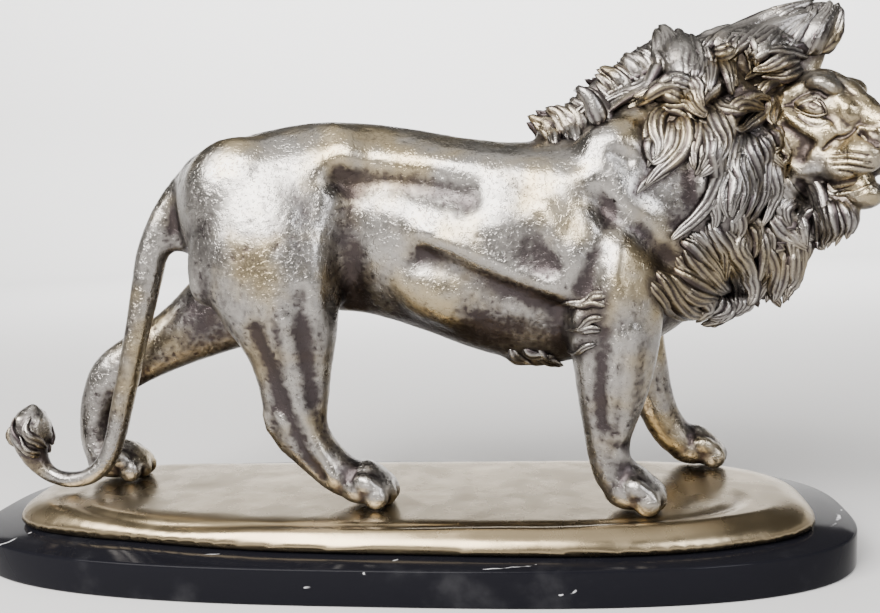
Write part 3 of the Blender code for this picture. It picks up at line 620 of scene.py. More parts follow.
# The face's grain: depth, offset in the noise and size of the grains.
FACE_GRAINS = ((0.09, 0, 2.2), (0.07, 60, 1.2), (0.12, 20, 6.0))
# A whisker row's line and its dots: reach and height of each.
WHISKER_LINE, WHISKER_DOT = (0.75, -0.32), (0.75, -0.6)


class LION_OT_carve_face(bpy.types.Operator):
    """Carves the face: brow, eyes, nose, whisker pads, mouth and chin"""

    bl_idname = "lion.carve_face"
    bl_label = "Carve the face"

    def execute(self, context):
        sizes = context.scene.lion_sizes
        bm = bmesh.new()
        for x, z, *radii, tilt in HEAD_MIDDLE:
            head_ball(bm, (x, 0, z), radii, tilt)
        for x, y, z, rx, ry, rz, tilt, turn in HEAD_PAIRS:
            for side in (1, -1):
                head_ball(bm, (x, side * y, z), (rx, ry, rz), tilt, side * turn)
        face = bpy.data.objects.new("lion_face", mesh_of(bm, "lion_face"))
        context.scene.collection.objects.link(face)
        finish_with(face, "REMESH", mode="VOXEL", voxel_size=FACE_FORM_GRID)
        finish_with(face, "SMOOTH", factor=0.6, iterations=14)
        finish_with(face, "REMESH", mode="VOXEL", voxel_size=sizes.face_grid)
        finish_with(face, "SMOOTH", factor=0.5, iterations=3)

        spots, normals = points_of(face), normals_of(face)
        lines = []
        for side in (1, -1):
            for points, reach, height in FACE_LINES:
                path = [on_head((x, side * y, z)) for x, y, z in points]
                lines.append((path, reach * HEAD_SCALE, height * HEAD_SCALE))
            for row in WHISKER_ROWS:
                path = [on_head((x, side * y, z)) for x, y, z in row]
                lines.append((path, *WHISKER_LINE))
                for x, y, z in smooth_path(row, 4)[1:-1]:
                    dot = on_head((x, side * y, z))
                    lines.append(([dot, dot + Vector((0, 0, 0.2))], *WHISKER_DOT))
        shift = np.zeros(len(spots))
        carve_lines(spots, lines, shift)
        shift *= sizes.carving_depth
        for depth, offset, size in FACE_GRAINS:
            shift += depth * grain_of(spots + offset, size)
        set_points(face, spots + normals * shift[:, None])
        spots = points_of(face)
        # Painted shade and painted highlights on the face, over a slight darkening of the whole face.
        patina_and_shade = np.full(len(spots), 0.05)
        for side in (1, -1):
            for points, radius, height in FACE_SHADE_AND_HIGHLIGHT:
                path = [on_head((x, side * y, z)) for x, y, z in points]
                carve_lines(spots, [(path, 1.2 * radius, height)], patina_and_shade)
        mark_hollows_and_shade(face, 4, 0.6, patina_and_shade)
        eyes = marked_forms()
        add_eyes(eyes)
        add_mesh(face, mesh_of(eyes, "eyes"))
        face.data.shade_smooth()
        face.data.materials.append(silvered_bronze(context.scene.lion_colours))
        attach(face, "root")
        return {"FINISHED"}


# The mane. Sections from the shoulders to the face: centre x, y, z, lean back, turn, top radius,
# bottom radius, side radius.
MANE = (
    (103, 0, 126, 32, 0, 50, 52, 41),
    (132, 1, 145, 25, 3, 55, 60, 45),
    (160, 3, 156, 18, 14, 57, 62, 44),
    (182, 1, 166, 8, 34, 50, 54, 38),
    (197, -2, 172, 0, 48, 35, 44, 27),
)

# Locks seen on a flank: x and z from root to tip, and a width.
SIDE_LOCKS = (
    (((90, 179), (94, 184), (101, 186), (108, 181)), 7),
    (((138, 197), (128, 196), (121, 192), (116, 191), (108, 188), (100, 186)), 8),
    (((143, 192), (135, 194), (130, 193), (124, 189), (118, 187)), 8),
    (((124, 188), (131, 192), (137, 191), (143, 188), (146, 181), (147, 176)), 9),
    (((128, 184), (134, 185), (140, 183), (144, 180), (147, 176)), 7),
    (((132, 183), (127, 178), (126, 171), (127, 165), (125, 159)), 8),
    (((137, 179), (139, 173), (138, 165), (132, 158), (125, 153), (120, 148)), 9),
    (((133, 177), (133, 169), (131, 163), (127, 159), (123, 157)), 8),
    (((143, 177), (144, 169), (142, 161), (143, 154)), 7),
    (((149, 182), (153, 174), (153, 166), (150, 158), (144, 151)), 9),
    (((156, 172), (152, 166), (150, 158), (151, 148), (146, 138), (136, 128), (131, 124)), 9),
    (((160, 172), (160, 163), (157, 153), (154, 143), (156, 133)), 8),
    (((168, 171), (167, 160), (170, 150), (167, 141), (162, 133)), 9),
    (((173, 170), (176, 160), (176, 150), (174, 140), (165, 132)), 8),
    (((179, 160), (179, 149), (180, 139), (172, 128)), 8),
    (((183, 153), (187, 142), (194, 131), (194, 122), (193, 118)), 10),
    (((190, 151), (195, 141), (197, 130), (201, 120), (203, 116)), 10),
    (((202, 138), (204, 133), (205, 124), (200, 118)), 8),
    (((180, 134), (184, 126), (191, 121), (196, 118)), 9), (((169, 129), (170, 122), (168, 114)), 8),
    (((154, 128), (162, 117), (170, 105), (172, 96), (169, 91)), 9),
    (((148, 132), (154, 122), (163, 112), (172, 101)), 8),
    (((176, 120), (180, 109), (183, 98), (186, 89)), 9),
    (((186, 118), (187, 107), (186, 98), (182, 92)), 8),
    (((191, 118), (191, 109), (190, 100), (188, 94)), 8),
    (((138, 120), (145, 111), (154, 104), (162, 99)), 9),
    (((134, 112), (141, 105), (151, 101), (162, 99)), 8),
    (((125, 111), (131, 101), (139, 93), (147, 89), (155, 91)), 9),
    (((136, 101), (143, 97), (151, 96), (158, 94)), 8),
    (((162, 95), (164, 89), (160, 85), (153, 84)), 8), (((167, 96), (168, 90), (165, 86)), 7),
    (((136, 124), (143, 119), (152, 112), (158, 105)), 8),
    (((174, 127), (176, 119), (175, 111), (173, 103)), 8),
    (((165, 126), (163, 119), (169, 110), (174, 102)), 7),
    (((152, 207), (151, 202), (151, 194), (149, 188)), 7),
    (((160, 207), (159, 201), (157, 192), (160, 188)), 7),
    (((167, 213), (163, 210), (160, 205), (158, 198)), 6),
    (((166, 212), (171, 211), (173, 206), (173, 201)), 6),
    (((194, 204), (185, 203), (177, 201), (170, 197)), 8),
    (((195, 201), (189, 198), (182, 195), (174, 194)), 8),
    (((199, 206), (190, 207), (180, 207), (173, 206)), 7),
    (((158, 177), (162, 182), (169, 184), (175, 182)), 8),
    (((175, 182), (172, 177), (165, 174), (158, 172)), 7),
    (((154, 186), (156, 181), (160, 178), (164, 179)), 7),
    (((178, 172), (181, 166), (179, 160), (184, 154)), 7),
    (((183, 171), (186, 164), (185, 159), (182, 156)), 7), (((178, 185), (176, 179), (178, 172)), 6),
    (((141, 195), (145, 189), (146, 182)), 7), (((172, 188), (178, 191), (184, 192)), 6),
    (((146, 175), (149, 168), (148, 160), (145, 154)), 7),
    (((152, 148), (151, 140), (152, 134), (151, 128)), 7), (((162, 135), (162, 128), (163, 123)), 6),
    (((160, 164), (159, 156), (160, 148), (158, 140), (157, 133)), 9),
    (((164, 163), (162, 154), (163, 145), (160, 136)), 8),
    (((185, 149), (189, 142), (185, 135), (187, 128)), 8), (((158, 95), (157, 90), (151, 85)), 8),
    (((149, 95), (151, 89), (147, 84)), 8), (((165, 90), (162, 86), (158, 82)), 7),
    (((172, 95), (171, 90), (168, 87)), 7), (((123, 170), (122, 163), (125, 157)), 6),
    (((151, 127), (155, 119), (158, 111), (158, 105)), 7), (((187, 126), (189, 120), (190, 112)), 7),
    (((198, 136), (195, 129), (197, 122)), 7),
)

# Locks of the crest, the forehead tuft and the peak over the neck.
CREST_LOCKS = (
    (((152, 208), (160, 214), (173, 219), (183, 224), (192, 227), (202, 230)), 10),
    (((157, 208), (169, 213), (181, 219), (191, 223), (200, 226)), 10),
    (((166, 208), (176, 212), (185, 218), (194, 222), (201, 224)), 10),
    (((175, 207), (182, 212), (190, 218), (196, 222), (200, 228)), 9),
    (((183, 207), (189, 212), (194, 218), (199, 223), (202, 227)), 9),
    (((190, 207), (194, 212), (197, 217), (201, 222)), 9),
    (((195, 206), (198, 212), (201, 218), (206, 224), (208, 230)), 10),
    (((199, 206), (202, 211), (205, 217), (209, 223), (212, 229)), 10),
    (((203, 207), (207, 212), (210, 217), (212, 223), (213, 227)), 9),
    (((205, 208), (209, 214), (212, 219), (213, 224)), 7),
    (((137, 196), (137, 206), (136, 215), (133, 224)), 12),
    (((133, 198), (132, 208), (131, 216), (132, 223)), 9),
    (((141, 196), (142, 205), (141, 215), (140, 221)), 11),
    (((145, 195), (147, 204), (146, 213), (146, 218)), 9), (((148, 197), (150, 205), (150, 210)), 8),
    (((136, 197), (135, 202), (134, 209), (134, 214)), 8),
    (((143, 194), (146, 200), (146, 207), (148, 213)), 7), (((149, 209), (155, 213), (165, 218)), 7),
    (((160, 214), (169, 218), (178, 220)), 7), (((174, 219), (181, 221), (188, 224)), 7),
    (((184, 222), (190, 225), (197, 227)), 7), (((154, 206), (160, 208), (168, 211)), 8),
    (((170, 205), (176, 208), (184, 214)), 8),
)

# Locks that make the outline under the chin and breast, seen on a flank.
OUTLINE_LOCKS = (
    (((203, 141), (208, 131), (209, 124), (207, 118)), 5),
    (((200, 142), (205, 133), (206, 124), (204, 117)), 7),
    (((206, 140), (210, 132), (211, 126), (210, 121)), 6),
    (((194, 142), (197, 132), (200, 124), (199, 118)), 6.5),
    (((197, 141), (201, 131), (203, 123), (203, 116)), 5),
    (((190, 128), (191, 114), (190, 101), (187, 91)), 8.5),
    (((184, 122), (184, 110), (182, 99), (180, 91)), 7.5),
    (((180, 118), (181, 108), (179, 100), (176, 92)), 8.5),
    (((196, 134), (198, 124), (197, 116), (194, 108)), 7.5),
)

# Small tufts at the elbow, under the breast and on the tail.
TUFTS = (
    (((102, 101), (97.6, 100.7), (93.9, 97.7), (89.7, 96.7), (86.5, 94.5)), 5.5),
    (((102, 96), (97.3, 98), (91.8, 96.6), (86.9, 97.8), (82.4, 97.1)), 5.5),
    (((101, 91), (95.2, 90.6), (90.4, 85.6), (84.8, 84.3)), 5),
    (((100, 85), (95.4, 86.1), (90.4, 84.8), (86.6, 85.7)), 5),
    (((98, 79), (92.7, 77.8), (89, 74.1), (85.5, 73.3)), 4.5),
    (((58, 73), (60.9, 69.4), (64.7, 67), (68.6, 64.6)), 6.5),
    (((64, 73), (68.8, 70.7), (74.1, 70.2), (79.4, 69.7)), 6.5),
    (((71, 73), (74.8, 68.2), (79.1, 65.2), (83.5, 63.2)), 6.5),
    (((-188, 23), (-192, 29), (-195, 35), (-194, 40)), 6),
    (((-196, 21), (-200, 28), (-203, 34), (-201, 40)), 6), (((-203, 25), (-206, 30), (-205, 35)), 5),
    (((-190, 19), (-196, 24), (-198, 31)), 5),
)

# The ridge of upright hair from the withers to the crown: x and the height of its top.
RIDGE = (
    (68, 174), (74, 185), (82, 186), (88, 189), (95, 193),
    (103, 201), (112, 206), (120, 209), (128, 214), (134, 216),
)

# Combed rows of the mane: where their roots lie, from 0 at the shoulders to 1 at the face, and how many.
COMBED_ROWS = ((0.96, 22), (0.82, 24), (0.68, 24), (0.54, 22), (0.42, 18))


# A lock has two strands, and one more from each of these widths on.
STRAND_WIDTHS = (7.0, 10.5, 16.0)
# A drawn lock's root sinks this deep, over this share of its length. Where the flank falls away by more
# than the step from one point to the next, the lock goes on straight.
ROOT_SINK, ROOT_SHARE, FLANK_STEP = 2.2, 0.18, 10


def lay_lock(bm, path, normals, width, thickness, chance, sides=20, blunt=3.2):
    """A leaf-shaped lock parted into strands, from a rooted end to a drawn-out or blunt tip."""
    strands = 2 + sum(width >= limit for limit in STRAND_WIDTHS)
    wave, twist, shade = chance.uniform(0, 6.28), chance.uniform(-0.3, 0.3), chance.uniform(0.0, 0.12)
    mark = bm.verts.layers.float["hollow_and_shade"]
    rings, lock_shading = [], []
    count = len(path)
    for i, (point, normal) in enumerate(zip(path, normals)):
        t = i / (count - 1)
        along = (path[min(i + 1, count - 1)] - path[max(i - 1, 0)]).normalized()
        across = along.cross(normal).normalized()
        out = across.cross(along)
        lean = twist + 0.35 * math.sin(2.6 * t + wave)
        c, s = math.cos(lean), math.sin(lean)
        across, out = across * c + out * s, out * c - across * s
        swell = (0.62 + 0.38 * math.sin(math.pi * min(1.0, t * 1.3 + 0.05))) * (1.0 - t**blunt) + 0.05
        swell *= min(1.0, 0.45 + 4.5 * t)
        ring = []
        for n in range(sides):
            a = 2 * math.pi * n / sides
            flat, rise = math.cos(a), math.sin(a)
            comb = abs(math.sin(math.pi * strands / 2 * (flat + 1 + 0.14 * math.sin(4.0 * t + wave))))
            body = 0.54 + 0.50 * comb if rise > 0 else 1.0
            spot = point + across * (0.5 * width * swell * flat) + out * (thickness * swell * rise * body)
            ring.append(in_world(spot))
            # Painted highlights on the strands' tops; painted shade on the lock's sides, underside and root;
            # patina in the grooves between strands. The value shade is a random darkening of each lock.
            lit = comb * max(0.0, min(1.0, 1.5 * rise))
            lock_shading.append(min(1.0, 0.99 - 0.56 * lit + shade + 0.10 * (1 - t) ** 3))
        rings.append(ring)
    first = len(bm.verts)
    skin(bm, rings)
    bm.verts.ensure_lookup_table()
    for vert, depth in zip(bm.verts[first : first + len(lock_shading)], lock_shading):
        vert[mark] = depth


def drape(points, side, surface, rise, steps=4):
    """Lays x and z points on the flank that faces side, and lifts them towards the tip."""
    casts = []
    for x, z in smooth_path(points, steps):
        spot, normal, *_ = surface.ray_cast(Vector((x, side * 200, z)), Vector((0, -side, 0)))
        if spot is not None and side * spot.y < -5:
            spot = None
        casts.append((x, z, spot, normal))
    last = next((spot.y for _, _, spot, _ in casts if spot is not None), side * 6.0)
    path, normals = [], []
    for x, z, spot, normal in casts:
        if spot is None or abs(spot.y - last) > FLANK_STEP:
            spot, normal = Vector((x, last, z)), Vector((0, side, 0))
        last = spot.y
        path.append(spot)
        normals.append(normal)
    eased = [path[0]] + [(a + b * 2 + c) / 4 for a, b, c in zip(path, path[1:], path[2:])] + [path[-1]]
    turned = [normals[0]] + [(a + b + c).normalized() for a, b, c in zip(normals, normals[1:], normals[2:])]
    turned += [normals[-1]]
    lifted = []
    for i, (spot, normal) in enumerate(zip(eased, turned)):
        t = i / len(eased)
        lifted.append(spot + normal * (rise * (0.3 + 0.7 * t) - ROOT_SINK * max(0.0, 1 - t / ROOT_SHARE)))
    return lifted, turned


def lay_on_flank(bm, lock, side, surface, chance, rise, width, thickness, **shape):
    """Lays a drawn lock on the flank that faces side. Width and thickness are shares of its own width."""
    points, own = lock
    path, normals = drape(points, side, surface, rise)
    lay_lock(bm, path, normals, width * own, thickness * own, chance, **shape)


def mane_point(s, angle):
    """A point about the mane's skin at s, from 0 at the shoulders to 1 at the face, and its way out."""
    place = max(0.0, min(1.0, s)) * (len(MANE) - 1)
    i = min(int(place), len(MANE) - 2)
    t = place - i
    x, y, z, lean, turn, top, bottom, side = (a + (b - a) * t for a, b in zip(MANE[i], MANE[i + 1]))
    up = Vector((-math.sin(math.radians(lean)), 0, math.cos(math.radians(lean))))
    across = Vector((math.sin(math.radians(turn)), math.cos(math.radians(turn)), 0))
    c, k = math.cos(math.radians(angle)), math.sin(math.radians(angle))
    out = up * ((top if c > 0 else bottom) * c) + across * (side * k)
    return Vector((x, y, z)) + out, out.normalized()


def comb_rows(bm, surface, chance):
    """Rows of locks over the breast, the nape and the left side, under the drawn ones."""
    for s_root, count in COMBED_ROWS:
        for k in range(count):
            angle = -180 + 360 * (k + chance.uniform(-0.3, 0.3)) / count
            slope, top = math.sin(math.radians(angle)), math.cos(math.radians(angle))
            run = 0.24 + 0.06 * top + chance.uniform(-0.03, 0.03)
            fall, bend = 24 * slope + chance.uniform(-8, 8), chance.uniform(-10, 10)
            path, normals = [], []
            for i in range(12):
                t = i / 11
                s = s_root + 0.06 - run * t
                if s < 0.04:
                    break
                point, out = mane_point(s, angle + fall * t**1.3 + bend * math.sin(math.pi * t))
                spot, normal, *_ = surface.find_nearest(point)
                if normal.dot(out) < 0.2:
                    normal = out
                path.append(spot + normal * (0.4 + 1.8 * t * t))
                normals.append((normal + out).normalized())
            if len(path) > 6 and slope > -0.35:
                width = chance.uniform(8.0, 11.0)
                lay_lock(bm, path, normals, width, 0.34 * width, chance, sides=16)


def comb_ridge(bm, surface, chance):
    """Short tufts that lean back, in uneven order along the top of the neck."""
    for x, top in smooth_path(RIDGE, 4)[3:]:
        for side in (-1, 1):
            x += chance.uniform(-1.2, 1.2)
            height = top + 0.6 + 1.4 * math.sin(0.5 * x + side) + chance.uniform(-1.2, 0.8)
            low = height - chance.uniform(9, 17)
            lean = chance.uniform(-5.0, 0.5)
            points = ((x + 7, low), (x + 6, low + 4), (x + 3 + 0.2 * lean, height - 4), (x + lean, height))
            path, normals = drape(points, side, surface, 1.8, 3)
            path[-1].y *= 0.6
            width = chance.uniform(5.5, 9.5)
            lay_lock(bm, path, normals, width, 0.42 * width, chance, sides=16, blunt=8.0)


def piece_of_hair(context, locks, name):
    """Turns laid locks into one cast piece with a little roughness."""
    mesh = mesh_of(locks, name)
    hair = bpy.data.objects.new(name, mesh)
    context.scene.collection.objects.link(hair)
    make_active(hair)
    bpy.ops.object.mode_set(mode="EDIT")
    bpy.ops.mesh.select_all(action="SELECT")
    bpy.ops.mesh.normals_make_consistent(inside=False)
    bpy.ops.object.mode_set(mode="OBJECT")
    spots = points_of(hair)
    spots += normals_of(hair) * (0.2 * grain_of(spots, 1.6) + 0.3 * grain_of(spots + 30, 4.0))[:, None]
    set_points(hair, spots)
    mesh.shade_smooth()
    mesh.materials.append(silvered_bronze(context.scene.lion_colours))
    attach(hair, "root")
    return hair


# The hair starts at this x, and painted shade lies on the skin as near to it as this.
HAIR_STARTS_AT, HAIR_SHADOW_REACH = 60, 4.0


class LION_OT_comb_mane(bpy.types.Operator):
    """Lays the locks of the mane, its ridge, crest and beard, and the tufts of hair"""

    bl_idname = "lion.comb_mane"
    bl_label = "Comb the mane"

    def execute(self, context):
        thickness = context.scene.lion_sizes.lock_thickness
        chance = random.Random(7)
        lion = bpy.data.objects["cast_lion"]
        surface = surface_of(lion)
        pieces = []
        for side, name in ((-1, "mane_right"), (1, "mane_left")):
            locks = marked_forms()
            if side > 0:
                comb_rows(locks, surface, chance)
            for points, width in SIDE_LOCKS:
                drift = chance.choice((-1, 1)) * width * 0.7
                beside = [(x + 0.6 * drift, z + 0.5 * drift) for x, z in points]
                lay_on_flank(
                    locks, (beside, width), side, surface, chance, 0.3, 0.85, 0.32, sides=18, blunt=8.0
                )
                lay_on_flank(
                    locks, (points, width), side, surface, chance, 2.8, 1.05, thickness, sides=28, blunt=8.0
                )
            pieces.append(piece_of_hair(context, locks, name))

        locks = marked_forms()
        comb_ridge(locks, surface, chance)
        for lock in CREST_LOCKS:
            for side in (-1, 1):
                lay_on_flank(locks, lock, side, surface, chance, 1.5, 1.1, 0.42, sides=24, blunt=7.0)
        for lock in OUTLINE_LOCKS:
            for side in (-1, 1):
                lay_on_flank(locks, lock, side, surface, chance, 1.0, 1.0, 0.36, sides=26, blunt=6.0)
        for lock in TUFTS:
            for side in (-1, 1):
                width = chance.uniform(0.8, 1.2)
                lay_on_flank(locks, lock, side, surface, chance, 0.9, width, 0.36, blunt=5.0)
        pieces.append(piece_of_hair(context, locks, "crest_and_tufts"))

        # Painted shade on the skin close under the hair.
        mark = lion.data.attributes["hollow_and_shade"].data
        spots = points_of(lion)
        for hair in [surface_of(piece) for piece in pieces]:
            for i in np.flatnonzero(spots[:, 0] > HAIR_STARTS_AT):
                gap = hair.find_nearest(Vector(spots[i]), HAIR_SHADOW_REACH)[3]
                if gap is not None:
                    mark[i].value = max(mark[i].value, 0.90 - 0.12 * max(0.0, gap - 0.6))
        return {"FINISHED"}


# The plate's outline is a rounded oval with this power, and so is the marble's.
PLATE_POWER, MARBLE_POWER = 3.0, 2.9
# A groove and a swelling rim on the plate's near side: how far out, as a share of the half size, and width.
PLATE_GROOVE = (0.83, 0.022)
PLATE_RIM = (0.89, 0.030)


class LION_OT_cast_plate(bpy.types.Operator):
    """Casts the ground plate with its wavering rounded rim"""

    bl_idname = "lion.cast_plate"
    bl_label = "Cast the ground plate"

    def execute(self, context):
        sizes = context.scene.lion_sizes
        plate = copy_of_solid("ground_plate", "cast_plate")
        low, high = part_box("ground_plate")
        finish_with(plate, "REMESH", mode="VOXEL", voxel_size=sizes.plate_grid)
        finish_with(plate, "SMOOTH", factor=0.5, iterations=6)
        spots, normals = points_of(plate), normals_of(plate)
        top = (high[2] - GROUND) / MM
        bottom = (low[2] - GROUND) / MM
        # A shallow groove runs inside the near rim, and the rim itself swells and sinks.
        low, high = np.array(low[:2]) / MM, np.array(high[:2]) / MM
        centre, half = (low + high) / 2, (high - low) / 2
        flat = (spots[:, :2] - centre) / half
        out = (np.abs(flat) ** PLATE_POWER).sum(axis=1) ** (1 / PLATE_POWER)
        near = np.clip(-flat[:, 1] * 1.5 + 0.3, 0, 1)
        waver = 0.012 * grain_of(spots * (1, 1, 0), 45.0)
        groove, rim = (
            np.exp(-(((out - place + waver) / width) ** 2)) for place, width in (PLATE_GROOVE, PLATE_RIM)
        )
        upward = np.clip(normals[:, 2], 0, 1)
        shift = upward * near * (0.7 * rim - 0.9 * groove)
        side = np.clip(1 - np.abs(normals[:, 2]), 0, 1)
        shift += side * 0.8 * grain_of(spots, 26.0) + upward * 0.25 * grain_of(spots, 18.0)
        paws = np.zeros(len(spots))
        for heel, y, toe, _ in PAWS:
            reach = ((spots[:, 0] - (heel + toe) / 2) / 17) ** 2 + ((spots[:, 1] - y) / 14) ** 2
            paws = np.maximum(paws, np.exp(-reach))
        spots += normals * (shift * (1 - paws))[:, None]
        spots[:, 2] = np.clip(spots[:, 2], bottom, top)
        set_points(plate, spots)
        mark_hollows_and_shade(plate, 3, 0.5)
        plate.data.shade_smooth()
        plate.data.materials.append(champagne_plate(context.scene.lion_colours))
        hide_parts("ground_plate")
        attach(plate, "root")
        return {"FINISHED"}


class LION_OT_cut_marble(bpy.types.Operator):
    """Cuts and polishes the black marble base"""

    bl_idname = "lion.cut_marble"
    bl_label = "Cut the marble base"

    def execute(self, context):
        low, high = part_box("marble_base")
        half = [(high[i] - low[i]) / 2 for i in range(3)]
        middle = [(high[i] + low[i]) / 2 for i in range(3)]
        deselect_all()
        bpy.ops.mesh.primitive_cylinder_add(vertices=320, radius=1.0, depth=2 * half[2], location=middle)
        marble = context.object
        marble.name = "marble_slab"
        bpy.ops.object.transform_apply(location=True, rotation=True, scale=True)
        power = 2 / MARBLE_POWER
        for vert in marble.data.vertices:
            x, y = vert.co.x - middle[0], vert.co.y - middle[1]
            vert.co.x = middle[0] + half[0] * math.copysign(abs(x) ** power, x)
            vert.co.y = middle[1] + half[1] * math.copysign(abs(y) ** power, y)
        finish_with(
            marble,
            "BEVEL",
            width=context.scene.lion_sizes.marble_edge,
            segments=3,
            limit_method="ANGLE",
            angle_limit=math.radians(50),
        )
        bpy.ops.object.shade_smooth_by_angle(angle=math.radians(35))
        marble.data.materials.append(black_marble(context.scene.lion_colours))
        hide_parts("marble_base")
        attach(marble, "root")
        return {"FINISHED"}


# Finishes.


class Finish:
    """Builds one material: makes nodes and joins them to the shader."""

    def __init__(self, name):
        self.material = bpy.data.materials.new(name)
        self.material.use_nodes = True
        self.tree = self.material.node_tree
        self.shader = self.tree.nodes["Principled BSDF"]
        self.place = self.tree.nodes.new("ShaderNodeTexCoord").outputs["Object"]

    def link(self, source, target):
        if hasattr(source, "is_output"):
            self.tree.links.new(source, target)
        else:
            target.default_value = source

    def node(self, kind, **sockets):
        """A node of that kind, with a value or a link for each named socket."""
        node = self.tree.nodes.new("ShaderNode" + kind)
        for name, value in sockets.items():
            self.link(value, node.inputs[name.replace("_", " ")])
        return node

    def noise(self, scale, detail, rough):
        return self.node("TexNoise", Scale=scale, Detail=detail, Roughness=rough, Vector=self.place)

    def grain(self, scale, detail=3.0, rough=0.55):
        return self.noise(scale, detail, rough).outputs["Fac"]

    def cells(self, scale):
        return self.node("TexVoronoi", Scale=scale, Vector=self.place).outputs["Distance"]

    def mark(self, name):
        node = self.node("Attribute")
        node.attribute_name = name
        return node.outputs["Fac"]

    def between(self, value, low, high, to_low=0.0, to_high=1.0):
        node = self.node("MapRange", Value=value, From_Min=low, From_Max=high, To_Min=to_low, To_Max=to_high)
        node.interpolation_type = "SMOOTHSTEP"
        return node.outputs["Result"]

    def sum(self, kind, a, b):
        node = self.node("Math")
        node.operation = kind
        self.link(a, node.inputs[0])
        self.link(b, node.inputs[1])
        return node.outputs["Value"]

    def vector(self, kind, a, b=(0, 0, 0)):
        node = self.node("VectorMath")
        node.operation = kind
        self.link(a, node.inputs[0])
        self.link(b, node.inputs[1])
        return node.outputs["Value" if kind in ("DOT_PRODUCT", "LENGTH") else "Vector"]

    def joined(self, value):
        node = self.node("CombineXYZ")
        for socket in node.inputs:
            self.link(value, socket)
        return node.outputs["Vector"]

    def blend(self, factor, a, b):
        node = self.node("Mix")
        node.data_type = "RGBA"
        self.link(factor, node.inputs["Factor"])
        for end, colour in (("A", a), ("B", b)):
            socket = [s for s in node.inputs if s.name == end and s.type == "RGBA"][0]
            self.link(colour if hasattr(colour, "is_output") else (*colour, 1.0), socket)
        return [s for s in node.outputs if s.type == "RGBA"][0]

    def bump(self, height, strength, distance):
        node = self.node("Bump", Strength=strength, Distance=distance, Height=height)
        self.set("Normal", node.outputs["Normal"])

    def set(self, name, value):
        self.link(value, self.shader.inputs[name])


def silvered_bronze(colours):
    """Silver worn bright on the crests, warm here and there, with dark oxide in the hollows and pits, and the
    painted shade and painted highlights that the darkness mark carries.
    """
    if "silvered bronze finish" in bpy.data.materials:
        return bpy.data.materials["silvered bronze finish"]
    finish = Finish("silvered bronze finish")
    warmth = finish.between(finish.grain(26.0, 3.0), 0.44, 0.66)
    metal = finish.blend(warmth, tuple(colours.silver), tuple(colours.gilt))
    speckle = finish.between(finish.grain(820.0, 3.0, 0.7), 0.57, 0.66)
    clouds = finish.between(finish.grain(60.0, 5.0, 0.65), 0.44, 0.74, 0.0, 0.6)
    # The mark gives patina in creases together with painted shade and painted highlights.
    crease_and_shade = finish.between(finish.mark("hollow_and_shade"), 0.42, 1.05, 0.0, 0.95)
    stain_and_shade = finish.sum("ADD", crease_and_shade, finish.sum("MULTIPLY", clouds, 0.22))
    stain_and_shade = finish.sum("ADD", stain_and_shade, finish.sum("MULTIPLY", speckle, finish.sum("ADD", clouds, 0.22)))
    stain_and_shade = finish.sum("MINIMUM", stain_and_shade, 0.93)
    finish.set("Base Color", finish.blend(stain_and_shade, metal, tuple(colours.patina_and_shade)))
    rough = finish.between(finish.grain(90.0, 4.0), 0.3, 0.7, 0.21, 0.33)
    finish.set("Roughness", finish.sum("ADD", rough, finish.sum("MULTIPLY", stain_and_shade, 0.12)))
    finish.set("Metallic", 1.0)
    pits = finish.between(finish.grain(620.0, 2.0, 0.5), 0.34, 0.46)
    fine = finish.grain(1300.0, 3.0, 0.6)
    finish.bump(finish.sum("ADD", pits, finish.sum("MULTIPLY", fine, 0.6)), 0.45, 0.00022)
    return finish.material


def champagne_plate(colours):
    """Satin champagne silver, cloudy, with a few dark pits."""
    finish = Finish("champagne plate finish")
    cloud = finish.between(finish.grain(16.0, 4.0), 0.35, 0.68)
    metal = finish.blend(cloud, tuple(colours.plate), tuple(0.86 * c for c in colours.plate))
    pits = finish.between(finish.cells(150.0), 0.10, 0.05)
    seldom = finish.between(finish.grain(40.0, 2.0), 0.60, 0.66)
    pits = finish.sum("MULTIPLY", pits, seldom)
    # The mark gives patina in the plate's creases and painted shade on the faces that look down.
    crease_and_shade = finish.between(finish.mark("hollow_and_shade"), 0.62, 0.95, 0.0, 0.5)
    stain_and_shade = finish.sum("MAXIMUM", pits, crease_and_shade)
    finish.set("Base Color", finish.blend(stain_and_shade, metal, (0.10, 0.08, 0.06)))
    finish.set("Roughness", finish.between(finish.grain(55.0, 5.0), 0.3, 0.7, 0.22, 0.33))
    finish.set("Metallic", 1.0)
    finish.bump(finish.sum("ADD", finish.grain(120.0, 4.0), finish.sum("MULTIPLY", pits, -1.0)), 0.12, 0.0006)
    return finish.material


# Veins of the marble: points in millimetres of the row frame and a width.
VEINS = (
    (((-190, -66, 17), (-184, -48, 17), (-181, -30, 17)), 0.45),
    (((-94, -74, 17), (-82, -69, 17), (-58, -66, 17)), 0.35),
    (((9, -72, 17), (-6, -84, 15), (-36, -84, 7)), 0.5),
    (((78, -83, 7), (100, -83, 11), (122, -82, 14)), 0.4),
    (((154, -80, 17), (164, -75, 17), (176, -70, 17)), 0.4), (((-160, -79, 17), (-145, -81, 12)), 0.35),
    (((46, -81, 16), (68, -78, 17)), 0.3), (((-60, 84, 12), (-38, 84, 9), (-20, 84, 4)), 0.45),
    (((128, 76, 17), (108, 82, 12), (88, 84, 6)), 0.4),
    (((205, -24, 17), (218, -6, 17), (226, 10, 9)), 0.45),
    (((-216, 18, 10), (-206, 34, 17), (-188, 44, 17)), 0.4),
)


